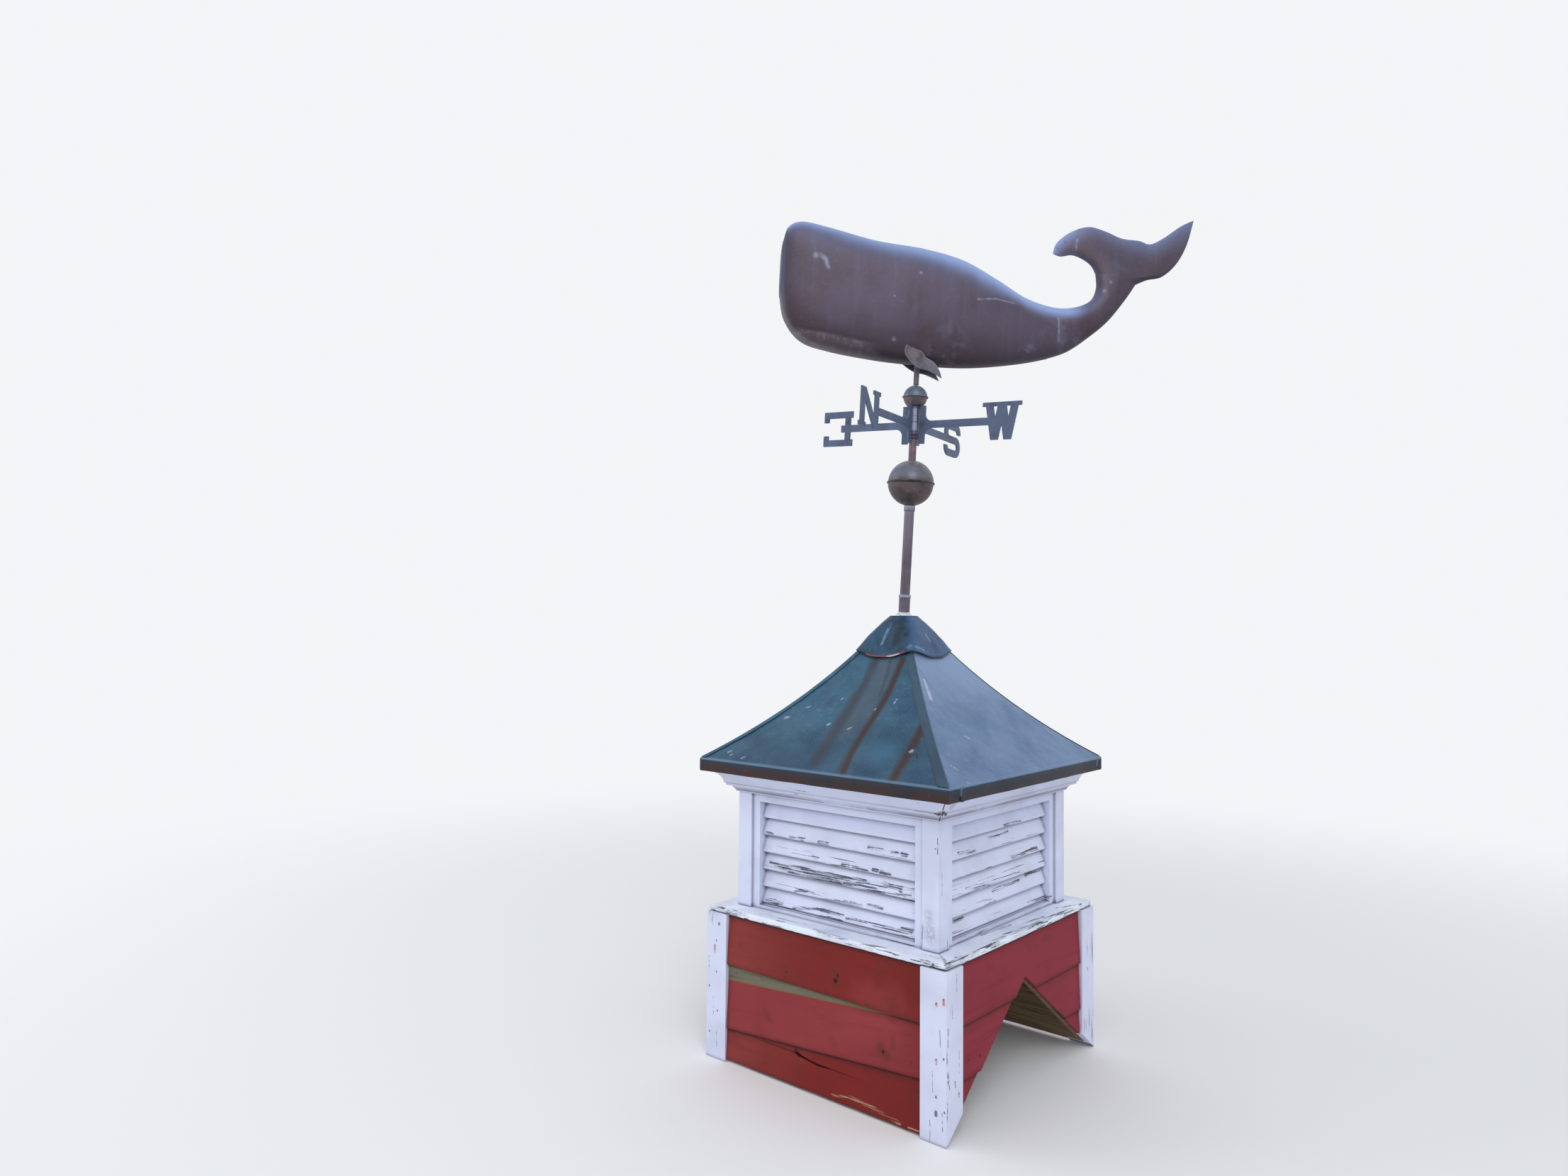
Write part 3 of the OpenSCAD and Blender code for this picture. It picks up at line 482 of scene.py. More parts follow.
SILL_CRACKS = [
    (-292, -304, -264, -300, 1.0), (-171, -281, -46, -280, 0.9), (-109, -295, -93, -295, 2.0),
    (-15, -291, 34, -296, 1.8), (1, -296, 34, -296, 2.4), (32, -296, 113, -307, 1.0),
    (110, -303, 162, -294, 1.4), (161, -320, 201, -309, 1.4), (200, -307, 222, -306, 2.4),
    (221, -310, 257, -310, 1.2), (237, -279, 273, -279, 0.9), (-78, -227, -72, -228, 1.5),
    (304, -304, 283, -277, 1.9), (283, -277, 252, -252, 0.8), (301, -288, 301, -286, 2.6),
    (291, -253, 290, -252, 2.0), (297, -253, 301, -184, 0.9), (300, -154, 302, -106, 1.8),
    (291, -113, 293, -75, 1.2), (286, -63, 294, -18, 1.4), (292, -6, 300, 78, 1.8),
    (279, 28, 285, 107, 0.8), (293, 92, 301, 188, 2.0), (275, 185, 300, 257, 1.1),
    (226, -145, 227, -59, 0.8), (256, -100, 263, 4, 0.8),
]


def front_cracks(g):
    return g.cracks(FRONT_CRACKS, g.joined(g.x, g.z, 0.0)) * g.step(g.y, 0.0, -0.01)


def right_cracks(g):
    return g.cracks(RIGHT_CRACKS, g.joined(g.y, g.z, 0.0)) * g.step(g.x, 0.0, 0.01) * 0.85


def sill_cracks(g):
    top = g.step(g.z, (SILL_TOP - 7) * MM, (SILL_TOP - 1) * MM) * 0.85 + 0.15
    return g.cracks(SILL_CRACKS, g.joined(g.x, g.y, 0.0)) * top * 0.85


def base_point(turn, along, z):
    """A place on the base's front or right face."""
    return (along, -BASE_HALF, z) if turn == FRONT else (BASE_HALF, along, z)


# Marks of the corner boards by kind and face: place along, from and to height, lean, half width
CORNER_MARKS = [
    (kind, base_point(turn, along, z0), base_point(turn, along + lean, z1), half)
    for kind, turn, rows in [
        ("rust", FRONT, [
            (299, 262, 253, 0, 2.4), (283, 252, 248, 0, 2.2), (283, 152, 144, 0, 2.2),
            (-281, 240, 227, 0, 2.2),
        ]),
        ("nail", FRONT, [
            (299, 157, 156, 0, 1.8), (283, 86, 84, 0, 1.8), (283, 58, 53, 0, 3.2),
            (301, 63, 62, 0, 1.8), (-269, 289, 287, 0, 2.6), (-277, 252, 251, 0, 1.8),
            (-297, 151, 150, 0, 1.8), (-272, 103, 102, 0, 1.8), (-295, 54, 53, 0, 1.8),
            (-276, 185, 184, 0, 1.8),
        ]),
        ("crack", RIGHT, [
            (-299, 210, 178, -1, 1.0), (-299, 130, 116, 0, 2.8), (-297, 112, 100, 4, 1.0),
            (-301, 78, 46, -1, 1.0), (-271, 300, 270, 1, 0.7), (-276, 110, 98, 2, 1.2),
            (-287, 250, 225, 2, 0.6), (-262, 160, 120, 1, 0.5), (-302, 168, 150, 0, 0.7),
        ]),
        ("rust", RIGHT, [(-262, 84, 79, 0, 2.2), (275, 180, 175, 0, 2.2)]),
        ("crack", FRONT, [
            (291, 206, 176, 1, 0.6), (275, 130, 92, 1, 0.5), (296, 60, 28, 1, 0.7),
            (270, 40, 12, 1, 0.6), (-285, 130, 92, 1, 0.5), (-299, 214, 190, 1, 0.5),
            (-274, 60, 26, 1, 0.6),
        ]),
    ]
    for along, z0, z1, lean, half in rows
]

# The near post's scuffs, and the broken mitre of the crown over it
POST_MARKS = [
    ("crack", (255, -BODY_HALF, 537), (255, -BODY_HALF, 508), 1.0),
    ("nail", (250, -BODY_HALF, 517), None, 1.5),
    ("scuff", (236, -BODY_HALF, 390), (240, -BODY_HALF, 352), 10),
    ("crack", (BODY_HALF, -246, 470), (BODY_HALF, -246, 430), 0.5),
]
MITRE = BODY_HALF + 21
MITRE_Z = CROWN_LOW + 19
CROWN_MARKS = [
    ("gap", (MITRE - 8, -MITRE, MITRE_Z - 1), (MITRE, -MITRE, MITRE_Z + 2), 4.6),
    ("gap", (MITRE, -MITRE, MITRE_Z + 2), (MITRE, 13 - MITRE, MITRE_Z - 2), 4.2),
    ("gap", (MITRE - 22, -MITRE, MITRE_Z - 2), (MITRE - 8, -MITRE, MITRE_Z - 1), 1.8),
    ("stain", (MITRE + 9, 24 - MITRE, MITRE_Z + 12), None, 8),
    ("stain", (MITRE - 26, -MITRE, MITRE_Z), (MITRE - 60, -MITRE, MITRE_Z), 2.4),
    ("nail", (MITRE - 46, -MITRE - 12, MITRE_Z + 14), None, 2.4),
]


# On the front's clapboards, as x and z: knots with their radius, and smears of stain round
# them and strokes of the peeled patch with their half width
KNOTS = [
    (47, 237, 6.2), (52, 248, 5.0), (147, 269, 4.2), (-81, 226, 2.4), (162, 131, 4.2),
    (-123, 125, 1.8), (226, 129, 1.8), (62, 115, 1.4), (183, 155, 2.0), (-217, 40, 1.8),
    (212, 45, 1.6), (115, 272, 1.4), (1, 300, 3.0), (118, 36, 1.4),
]
SMEARS = [
    (147, 282, 147, 256, 8), (48, 258, 46, 224, 9), (156, 136, 172, 128, 9),
    (183, 162, 184, 146, 6), (240, 262, 252, 250, 8), (-80, 236, -82, 214, 5),
]
PEELED = [
    (42, 15, 83, 24, 3.5), (83, 24, 138, 21, 4.5), (138, 21, 200, 11, 5.0), (221, 10, 249, 11, 2.5),
]
# Knots on the right side, as y and z
SIDE_KNOTS = [(-15, 305), (-178, 125), (-219, 130), (-49, 198)]
MOSS = srgb(112, 104, 52)


def barn_red():
    """Stained clapboards.

    The mesh carries along and up, the place on a board, and under, the distance below what
    hangs over it, all in metres, and seed and crack.
    """
    g = Graph("barn_red")
    up, under, seed, along = (g.mark(n) for n in ("up", "under", "seed", "along"))
    grain = g.noise(1.0, detail=8, rough=0.62, at=g.joined(along * 3, up * 60, seed * 7))
    fine = g.noise(1.0, detail=5, rough=0.7, at=g.joined(along * 9, up * 520, seed * 3))
    broad = g.noise(5, detail=3, shift=4.4)
    blots = g.noise(19, detail=3, rough=0.5, shift=6.3)
    # The front's top and lowest boards are deeper than the one between, and redder to the right
    front = g.step(g.y, -0.27, -0.29)
    deeper = g.step(abs(seed - 2), 0.4, 0.6) * front
    # The front and the sides take different reds for the different light on each face: painted light
    g.colour = g.mix(srgb(139, 45, 60), RED, front)
    g.coat(g.mix(srgb(136, 54, 50), srgb(122, 34, 30), g.step(g.x, -0.24, 0.02)), deeper)
    g.coat(srgb(98, 20, 20), g.step(g.x, 0.12, 0.28) * front * 0.45)
    g.coat(RED_DEEP, g.step(broad, 0.44, 0.7) * 0.32)
    g.coat(srgb(156, 68, 70), g.step(broad, 0.44, 0.28) * 0.3)
    g.coat(RED_BROWN, g.step(blots, 0.58, 0.74) * 0.4)
    g.coat(RED_DEEP, g.step(grain, 0.48, 0.75) * 0.3)
    g.coat(srgb(166, 80, 78), g.step(fine, 0.62, 0.8) * 0.18)
    # Painted shadow below each board's edge, cast on the next one, and darker along the board's own
    # lower edge
    g.coat(RED_DEEP, g.step(under, 0.022, 0.0) * 0.5)
    g.coat(KNOT_AND_SHADOW, g.step(under, 0.009, 0.001) * 0.8)
    g.coat(RED_DEEP, g.step(up, 0.01, 0.0) * 0.5)
    face = -(SHEATH_HALF + CLAP_BUTT)
    dark = g.greatest([g.spot((x, face, z), r * 0.85) for x, z, r in KNOTS])
    halo = g.greatest([g.stroke((a, face, b), (c, face, d), h, soft=0.9) for a, b, c, d, h in SMEARS])
    g.coat(RED_BROWN, halo * g.step(blots, 0.3, 0.55) * 0.5)
    dark = g.greatest([dark] + [g.spot((-face, y, z), 2.6, soft=0.8) for y, z in SIDE_KNOTS])
    g.coat(srgb(34, 14, 16), dark * g.step(fine + grain, 0.7, 0.95) * 0.95)
    hole = g.stroke((-56, face + 5, 73), (-46, face + 5, 68), 4.5, soft=0.6)
    g.coat(srgb(26, 12, 14), hole * g.step(fine, 0.3, 0.5) * 0.9)
    g.coat(KNOT_AND_SHADOW, g.step(g.mark("crack"), 0.3, 0.8))
    # Raw wood where a board was hidden until it slipped, yellowed at the paint's edge
    hidden = g.step(up + (fine - 0.5) * 0.004, COURSE * MM + 0.0005, COURSE * MM + 0.003)
    raw = g.mix(srgb(116, 110, 98), srgb(88, 80, 66), g.step(grain, 0.4, 0.62))
    raw = g.mix(raw, MOSS, g.step(up, (COURSE + 10) * MM, (COURSE + 2) * MM) * 0.6)
    raw = g.mix(raw, MOSS, g.step(under, 0.009, 0.003) * 0.5)
    # Painted shadow line under the board above
    raw = g.mix(raw, KNOT_AND_SHADOW, g.step(under, 0.004, 0.001) * 0.8)
    raw = g.mix(raw, KNOT_AND_SHADOW, g.spot((-226, face + 3, 190), 3.4, soft=0.8) * 0.8)
    g.coat(raw, hidden)
    # Stain peeled from the front's lowest board, in strands along the grain
    strokes = [g.stroke((a, face, b), (c, face, d), h, soft=0.6) for a, b, c, d, h in PEELED]
    strands = g.noise(1.0, detail=5, rough=0.7, at=g.joined(along * 16, up * 420, 3.3))
    peeled = g.step(g.greatest(strokes) * 0.27 + strands, 0.71, 0.8)
    under_stain = g.mix(srgb(150, 96, 78), srgb(196, 160, 130), g.step(fine, 0.42, 0.6))
    g.coat(under_stain, peeled * 0.9)
    height = grain * 0.35 + fine * 0.18 + dark * -0.6 + peeled * -0.3
    return g.finish(0.68, height, specular=0.22)


def raw_wood(name, grain):
    g = Graph(name)
    lines = g.noise(scaled(grain, 9), detail=7, rough=0.65)
    g.colour = g.mix(WOOD, WOOD_DARK, g.step(lines, 0.42, 0.72))
    return g.finish(0.8, lines * 0.5, specular=0.2)


# Copper

# White drops and flecks on the copper: from and to, and half width
ROOF_DROPS = [
    ((-170, -207, 733), (-163, -205, 735), 3.0), ((-45, -214, 726), (-41, -212, 729), 2.2),
    ((-129, -183, 755), (-121, -180, 760), 1.6), ((-50, -162, 775), (-47, -160, 779), 1.2),
    ((88, -162, 776), (89, -155, 783), 1.8), ((49, -176, 762), (50, -175, 763), 1.6),
    ((12, -218, 721), (18, -215, 726), 1.6), ((-205, -307, 651), (-199, -304, 654), 2.2),
    ((-254, -296, 659), (-250, -293, 662), 2.2), ((-241, -303, 653), (-238, -301, 655), 1.6),
    ((191, -252, 694), (192, -251, 695), 3.4), ((226, -113, 715), (233, -106, 710), 1.6),
    ((276, -244, 674), (287, -235, 667), 1.8), ((313, -247, 647), (316, -244, 645), 1.2),
]
# Brown runs on the front slope: points from the top down, half width and strength
ROOF_RUNS = [
    ([(22, -90, 860), (20, -149, 789), (14, -212, 727)], 30, 0.55),
    ([(-13, -90, 860), (-13, -157, 780), (-14, -230, 712), (-8, -300, 657)], 12, 0.8),
    ([(-22, -150, 786), (-27, -230, 712), (-24, -290, 663)], 9, 0.5),
    ([(27, -90, 860), (36, -122, 819), (42, -150, 788)], 4, 0.6),
    ([(56, -90, 860), (58, -150, 787), (54, -215, 724), (55, -270, 679), (64, -312, 648)], 11, 0.6),
    ([(58, -88, 862), (60, -150, 787), (57, -215, 724), (60, -270, 679), (73, -312, 648)], 7.5, 1.0),
    ([(184, -205, 735), (187, -237, 706), (189, -274, 675), (192, -318, 644)], 11, 1.0),
]
# Deep blue patches on the front slope, with their radius
ROOF_DEEP = [
    ((-62, -263, 684), 24), ((-104, -293, 661), 26), ((232, -301, 656), 22), ((129, -305, 652), 24),
    ((-20, -312, 648), 22), ((-200, -312, 648), 20), ((-130, -290, 664), 30),
]
# Painted highlights beside the near hip, and places where the drip edge is rubbed: from and
# to, half width and softness
ROOF_HIP_HIGHLIGHT = [
    ((119, -99, 822), (140, -113, 800), 3.2, 0.7), ((140, -113, 800), (152, -124, 786), 4.2, 0.7),
]
ROOF_RUBBED = [
    ((319, -280, 641), (319, -281, 628), 2.4, 0.8), ((319, 300, 641), (319, 296, 628), 3, 0.8),
]


def lay_runs(g, soften):
    """Brown runs down the front slope, their rims broken up by a noise."""
    for points, half, strength in ROOF_RUNS:
        run = g.greatest([g.stroke(a, b, half, soft=0.9) for a, b in zip(points[:-1], points[1:])])
        run = run * g.step(soften + run * 0.3, 0.36, 0.64) * strength
        shade = srgb(76, 78, 88) if half > 20 else STREAK if strength < 1 else RUN_BROWN
        g.coat(shade, run * 0.93)


def lay_hips(g, cloud, small, lap):
    """Slate strips where the side sheets turn over the near hips, and a painted highlight by them."""
    hip = g.step(abs(abs(g.x) - abs(g.y)), 0.006, 0.003) * g.step(g.x * g.y, 0.0, -0.001)
    strip = g.mix(srgb(38, 60, 82), srgb(58, 82, 102), g.step(cloud, 0.4, 0.62))
    g.coat(strip, g.math("MAXIMUM", lap, hip) * 0.85)
    hip_highlight = g.patches(ROOF_HIP_HIGHLIGHT)
    g.coat(srgb(188, 198, 222), hip_highlight * g.step(small, 0.3, 0.5) * 0.75)
    crease = g.stroke((195, 183, 743), (253, 213, 692), 1.4, soft=0.8)
    g.coat(srgb(64, 82, 104), crease * 0.7)


def lay_drip_edge(g, small, sunny):
    """Dark drip edge under a painted highlight line, reddest at its lower lip."""
    # Painted highlight along the top of the drip edge
    lip = g.step(g.z, (SLOPE_BASE - 4) * MM, (SLOPE_BASE - 2) * MM)
    lip = lip * g.step(g.z, (SLOPE_BASE + 3.5) * MM, (SLOPE_BASE + 1) * MM)
    g.coat(srgb(104, 134, 162), lip * 0.6)
    drip = g.step(g.z, (SLOPE_BASE - 1.5) * MM, (SLOPE_BASE - 4) * MM)
    sheet = g.noise(12, detail=4, shift=5.0)
    brown = g.mix(srgb(24, 30, 40), srgb(48, 32, 32), g.step(sheet, 0.36, 0.56))
    brown = g.mix(brown, srgb(20, 28, 50), sunny * 0.7)
    brown = g.mix(brown, srgb(24, 48, 68), g.step(g.z, (HEM_LOW + 11) * MM, (SLOPE_BASE - 2) * MM) * 0.6)
    rusty = g.step(g.z, (HEM_LOW + 15) * MM, (HEM_LOW + 3) * MM) * g.step(sheet, 0.34, 0.5)
    brown = g.mix(brown, srgb(56, 30, 26), rusty * (0.9 - sunny * 0.35))
    brown = g.mix(brown, srgb(78, 102, 120), g.step(small, 0.62, 0.76) * 0.3)
    rubbed = g.patches(ROOF_RUBBED)
    brown = g.mix(brown, srgb(96, 130, 158), rubbed * 0.6)
    g.coat(brown, drip)


def roof_copper():
    """Sheet copper with patina. The mesh carries across and down in metres, lap and edge."""
    g = Graph("roof_copper")
    across, down, lap, edge = (g.mark(n) for n in ("across", "down", "lap", "edge"))
    cloud = g.noise(7, detail=5, rough=0.6)
    small = g.noise(60, detail=6, rough=0.65, shift=2.0)
    grain = g.noise(420, detail=3, shift=4.0)
    runs = g.noise(1.0, detail=5, rough=0.6, at=g.joined(across * 26, down * 1.6, 0.0))
    sunny = g.step(abs(g.x) - abs(g.y), -0.001, 0.005)
    low = g.step(g.z, 0.76, 0.66)
    body = g.mix(srgb(46, 92, 118), srgb(18, 60, 90), g.step(cloud + low * 0.16, 0.46, 0.72) * 0.8)
    body = g.mix(body, srgb(82, 122, 142), g.step(small - low * 0.12, 0.5, 0.74) * 0.42)
    deep = g.greatest([g.spot(place, radius, soft=0.9) for place, radius in ROOF_DEEP])
    body = g.mix(body, srgb(12, 56, 90), deep * 0.45)
    body = g.mix(body, srgb(62, 112, 144), g.spot((130, -262, 685), 30, soft=0.9) * 0.5)
    # The side slopes take a lighter, bluer copy of the patina, lightest near the top: painted sky
    # reflection
    side = g.mix(srgb(98, 128, 168), srgb(74, 100, 138), g.step(cloud, 0.42, 0.7) * 0.8)
    side = g.mix(side, srgb(138, 162, 198), g.step(g.z, 0.72, 0.84) * 0.7)
    side = g.mix(side, srgb(136, 156, 190), g.step(small, 0.52, 0.75) * 0.35)
    g.colour = g.mix(body, side, sunny)
    g.coat(srgb(74, 88, 114), g.step(runs, 0.56, 0.74) * 0.35)
    g.coat(srgb(122, 154, 172), g.step(grain, 0.5, 0.8) * 0.22)
    g.coat(srgb(26, 44, 64), g.step(grain, 0.5, 0.2) * 0.25)
    soften = g.noise(1.0, detail=4, at=g.joined(across * 60, down * 7, 4.0))
    lay_runs(g, soften)
    lay_hips(g, cloud, small, lap)
    lay_drip_edge(g, small, sunny)
    drops = g.greatest([g.stroke(a, b, w * 1.2, soft=0.8) for a, b, w in ROOF_DROPS])
    drops = drops * g.step(g.noise(240, detail=2, shift=1.2), 0.3, 0.5)
    specks = g.step(g.cells(46), 0.09, 0.05) * g.step(g.noise(11, shift=9.0), 0.55, 0.7)
    g.coat(srgb(166, 190, 210), g.math("MAXIMUM", drops * 0.7, specks * 0.35))
    g.coat(srgb(36, 40, 50), g.stroke((206, -256, 690), (214, -264, 683), 2.0) * 0.9)
    g.coat(srgb(36, 44, 54), edge * 0.85)
    height = small * 0.25 + grain * 0.06 + drops * 0.3
    roughness = g.step(cloud, 0.2, 0.8) * 0.2 + 0.36
    return g.finish(roughness, height, metal=0.25)


# A dark blotch on the cap's front and bright scratches: from, to or None, half width, softness
CAP_BLOTCH = [((24, -55, 925), (28, -66, 905), 13, 0.8), ((42, -57, 916), None, 8, 0.9)]
CAP_BRIGHT = [
    ((-4, -45, 938), (-7, -74, 895), 3.2, 0.8), ((66, -72, 890), None, 6, 0.8),
    ((60, -4, 918), (70, 0, 902), 2.4, 0.8), ((74, -66, 892), (80, -40, 882), 3, 0.9),
]


def cap_copper():
    """The cap: patina above, painted shade on its edge and underside, and an orange hem under the front
    lobe.
    """
    g = Graph("cap_copper")
    down, edge, around = g.mark("down"), g.mark("edge"), g.mark("around")
    cloud = g.noise(16, detail=5, rough=0.62)
    small = g.noise(85, detail=6, rough=0.65, shift=2.0)
    angle_run = g.noise(1.0, detail=4, at=g.joined(around * 5, down * 9, 0.0))
    sunny = g.step(g.x - abs(g.y), -0.022, 0.016)
    body = g.mix(srgb(24, 70, 102), srgb(10, 42, 64), g.step(cloud, 0.42, 0.66))
    # The right side takes a lighter, bluer copy of the patina: painted light
    side = g.mix(srgb(60, 94, 136), srgb(36, 66, 102), g.step(cloud, 0.42, 0.66))
    g.colour = g.mix(body, side, sunny * 0.85)
    g.coat(srgb(52, 62, 76), g.step(angle_run, 0.55, 0.72) * 0.4)
    g.coat(srgb(110, 144, 176), g.step(small, 0.6, 0.76) * 0.3)
    g.coat(srgb(14, 28, 40), g.patches(CAP_BLOTCH) * 0.75)
    g.coat(srgb(132, 160, 188), g.patches(CAP_BRIGHT) * g.step(small, 0.3, 0.55) * 0.55)
    # Painted shade along the lower edge and underside
    g.coat(srgb(20, 24, 34), edge * 0.9)
    hem = edge * g.step(g.x, -0.044, -0.036) * g.step(g.x, 0.064, 0.056) * g.step(g.y, -0.06, -0.07)
    g.coat(srgb(156, 74, 58), hem * 0.9)
    g.coat(srgb(226, 214, 214), hem * g.spot((33, -90, 869), 15) * 0.9)
    height = small * 0.4 + cloud * 0.6
    return g.finish(0.42, height, metal=0.25)


def brown_copper(name, base, light, dark, size, runs=0.0, blue=0.35, fade=None):
    """Brown copper, clouded, with a painted blue sheen of the sky on what faces up.

    fade is the two heights in metres between which it turns lighter, on a mesh that carries
    the mark pale.
    """
    g = Graph(name)
    cloud = g.noise(size, detail=5, rough=0.6)
    small = g.noise(size * 9, detail=6, rough=0.66, shift=2.6)
    upward = g.upward()
    g.colour = g.mix(base, light, g.step(cloud, 0.48, 0.74) * 0.8)
    g.coat(dark, g.step(cloud, 0.46, 0.26) * 0.8)
    if runs:
        streak = g.noise((90.0, 90.0, 5.0), detail=4, shift=1.3)
        g.coat(dark, g.step(streak, 0.52, 0.7) * runs)
    if fade:
        g.coat(light, g.step(g.z, *fade) * 0.5)
        g.coat(srgb(160, 166, 182), g.mark("pale") * 0.75)
    # Painted blue sheen of the sky on what faces up
    g.coat(SHEEN_BLUE, g.step(upward, 0.05, 0.95) * blue)
    g.coat(light, g.step(small, 0.62, 0.78) * 0.4)
    height = small * 0.16 + cloud * 0.3
    return g.finish(0.46, height, metal=0.35)


def globe_copper():
    """Grey-blue above with brown patches, a dark rim with a painted highlight, and speckled brown below.
    """
    g = Graph("globe_copper")
    up = g.mark("up")
    cloud = g.noise(26, detail=5, rough=0.62)
    small = g.noise(150, detail=5, rough=0.65)
    g.colour = g.mix(srgb(88, 74, 76), srgb(60, 52, 58), g.step(cloud, 0.42, 0.66))
    g.coat(srgb(146, 138, 140), g.step(small, 0.6, 0.74) * g.step(up, 0.0, -0.3) * 0.6)
    blue_above = g.step(up + (cloud - 0.5) * 0.6, -0.02, 0.3)
    g.coat(srgb(98, 106, 122), blue_above * 0.9)
    g.coat(srgb(138, 144, 154), g.step(up + (small - 0.5) * 0.6, 0.35, 0.9) * blue_above * 0.6)
    g.coat(srgb(104, 80, 66), g.step(cloud, 0.5, 0.62) * blue_above * 0.65)
    rim = g.step(abs(up), 0.06, 0.025)
    g.coat(srgb(46, 40, 44), rim * 0.8)
    # Painted highlight along the rim's upper side
    g.coat(srgb(164, 168, 180), rim * g.step(up, 0.0, 0.02) * g.step(small, 0.5, 0.62) * 0.6)
    return g.finish(0.42, small * 0.3 + cloud * 0.4, metal=0.35)


def ball_copper():
    """Pale blue-grey dome over a brown bowl, with a painted highlight along the fold."""
    g = Graph("ball_copper")
    up = g.mark("up")
    cloud = g.noise(44, detail=5, rough=0.62)
    g.colour = g.mix(srgb(108, 94, 98), srgb(80, 68, 76), g.step(cloud, 0.42, 0.64))
    g.coat(srgb(96, 106, 128), g.step(up, 0.03, 0.12) * 0.9)
    g.coat(srgb(142, 156, 182), g.step(up + (cloud - 0.5) * 0.8, 0.4, 0.9) * 0.6)
    # Painted highlight along the fold
    g.coat(srgb(168, 176, 198), g.step(abs(up - 0.02), 0.05, 0.02) * g.step(cloud, 0.4, 0.6) * 0.8)
    g.coat(srgb(48, 40, 48), g.step(abs(up + 0.07), 0.05, 0.02) * 0.6)
    return g.finish(0.44, cloud * 0.4, metal=0.35)


# The direction across the hub's side that carries a painted reflection, and the middle and half
# height in metres of each rectangle of painted reflection on it
REFLECTION_ACROSS = (0.83, 0.55)
REFLECTION_HEIGHTS = ((0.060, 0.0085), (0.027, 0.0085), (0.044, 0.006))


def hub_copper():
    """Brown tube with pale rectangles of painted sky reflection between the arms' roots.

    The mesh carries height above the hub's foot, and lean, which centres the side with the reflection.
    """
    g = Graph("hub_copper")
    cloud = g.noise(40, detail=5, rough=0.62)
    height = g.mark("height")
    g.colour = g.mix(srgb(92, 88, 108), srgb(70, 58, 66), g.step(cloud, 0.42, 0.64))
    across = g.x * REFLECTION_ACROSS[0] + g.y * REFLECTION_ACROSS[1] + g.mark("lean")
    facing = g.step(abs(across), 0.0075, 0.006)
    pale = g.greatest([
        g.step(abs(height - middle), half + 0.001, half - 0.0005)
        for middle, half in REFLECTION_HEIGHTS
    ])
    # Painted sky reflection in pale rectangles
    g.coat(srgb(150, 158, 184), pale * facing * g.step(cloud, 0.3, 0.45) * 0.75)
    return g.finish(0.45, cloud * 0.4, metal=0.35)


# Scuffs and hazy patches on the whale, with x ahead and z above as its sections have them:
# from, to or None, half width and softness
WHALE_SCUFFS = [
    ((236, 0, 216), (225, 0, 207), 4.5, 0.9), ((225, 0, 207), (219, 0, 187), 4, 0.9),
    ((248, 0, 215), None, 6, 0.9), ((12, 0, 194), None, 3, 0.8), ((69, 0, 137), None, 2, 0.8),
    ((64, 0, 44), None, 4, 0.9), ((-120, 0, 145), (-161, 0, 150), 2, 0.9),
    ((-161, 0, 150), (-205, 0, 145), 1.4, 0.9), ((-311, 0, 124), (-314, 0, 72), 2.6, 0.9),
    ((-354, 0, 316), (-352, 0, 292), 2.6, 0.9), ((-419, 0, 196), None, 4, 0.9),
    ((-433, 0, 218), None, 3, 0.9), ((316, 0, 90), (300, 0, 60), 3, 0.9),
]
WHALE_HAZE = [
    ((-246, 0, 52), None, 20, 0.9), ((-340, 0, 75), None, 22, 0.9), ((-60, 0, 30), None, 40, 0.9),
    ((-300, 0, 110), None, 34, 0.9),
]


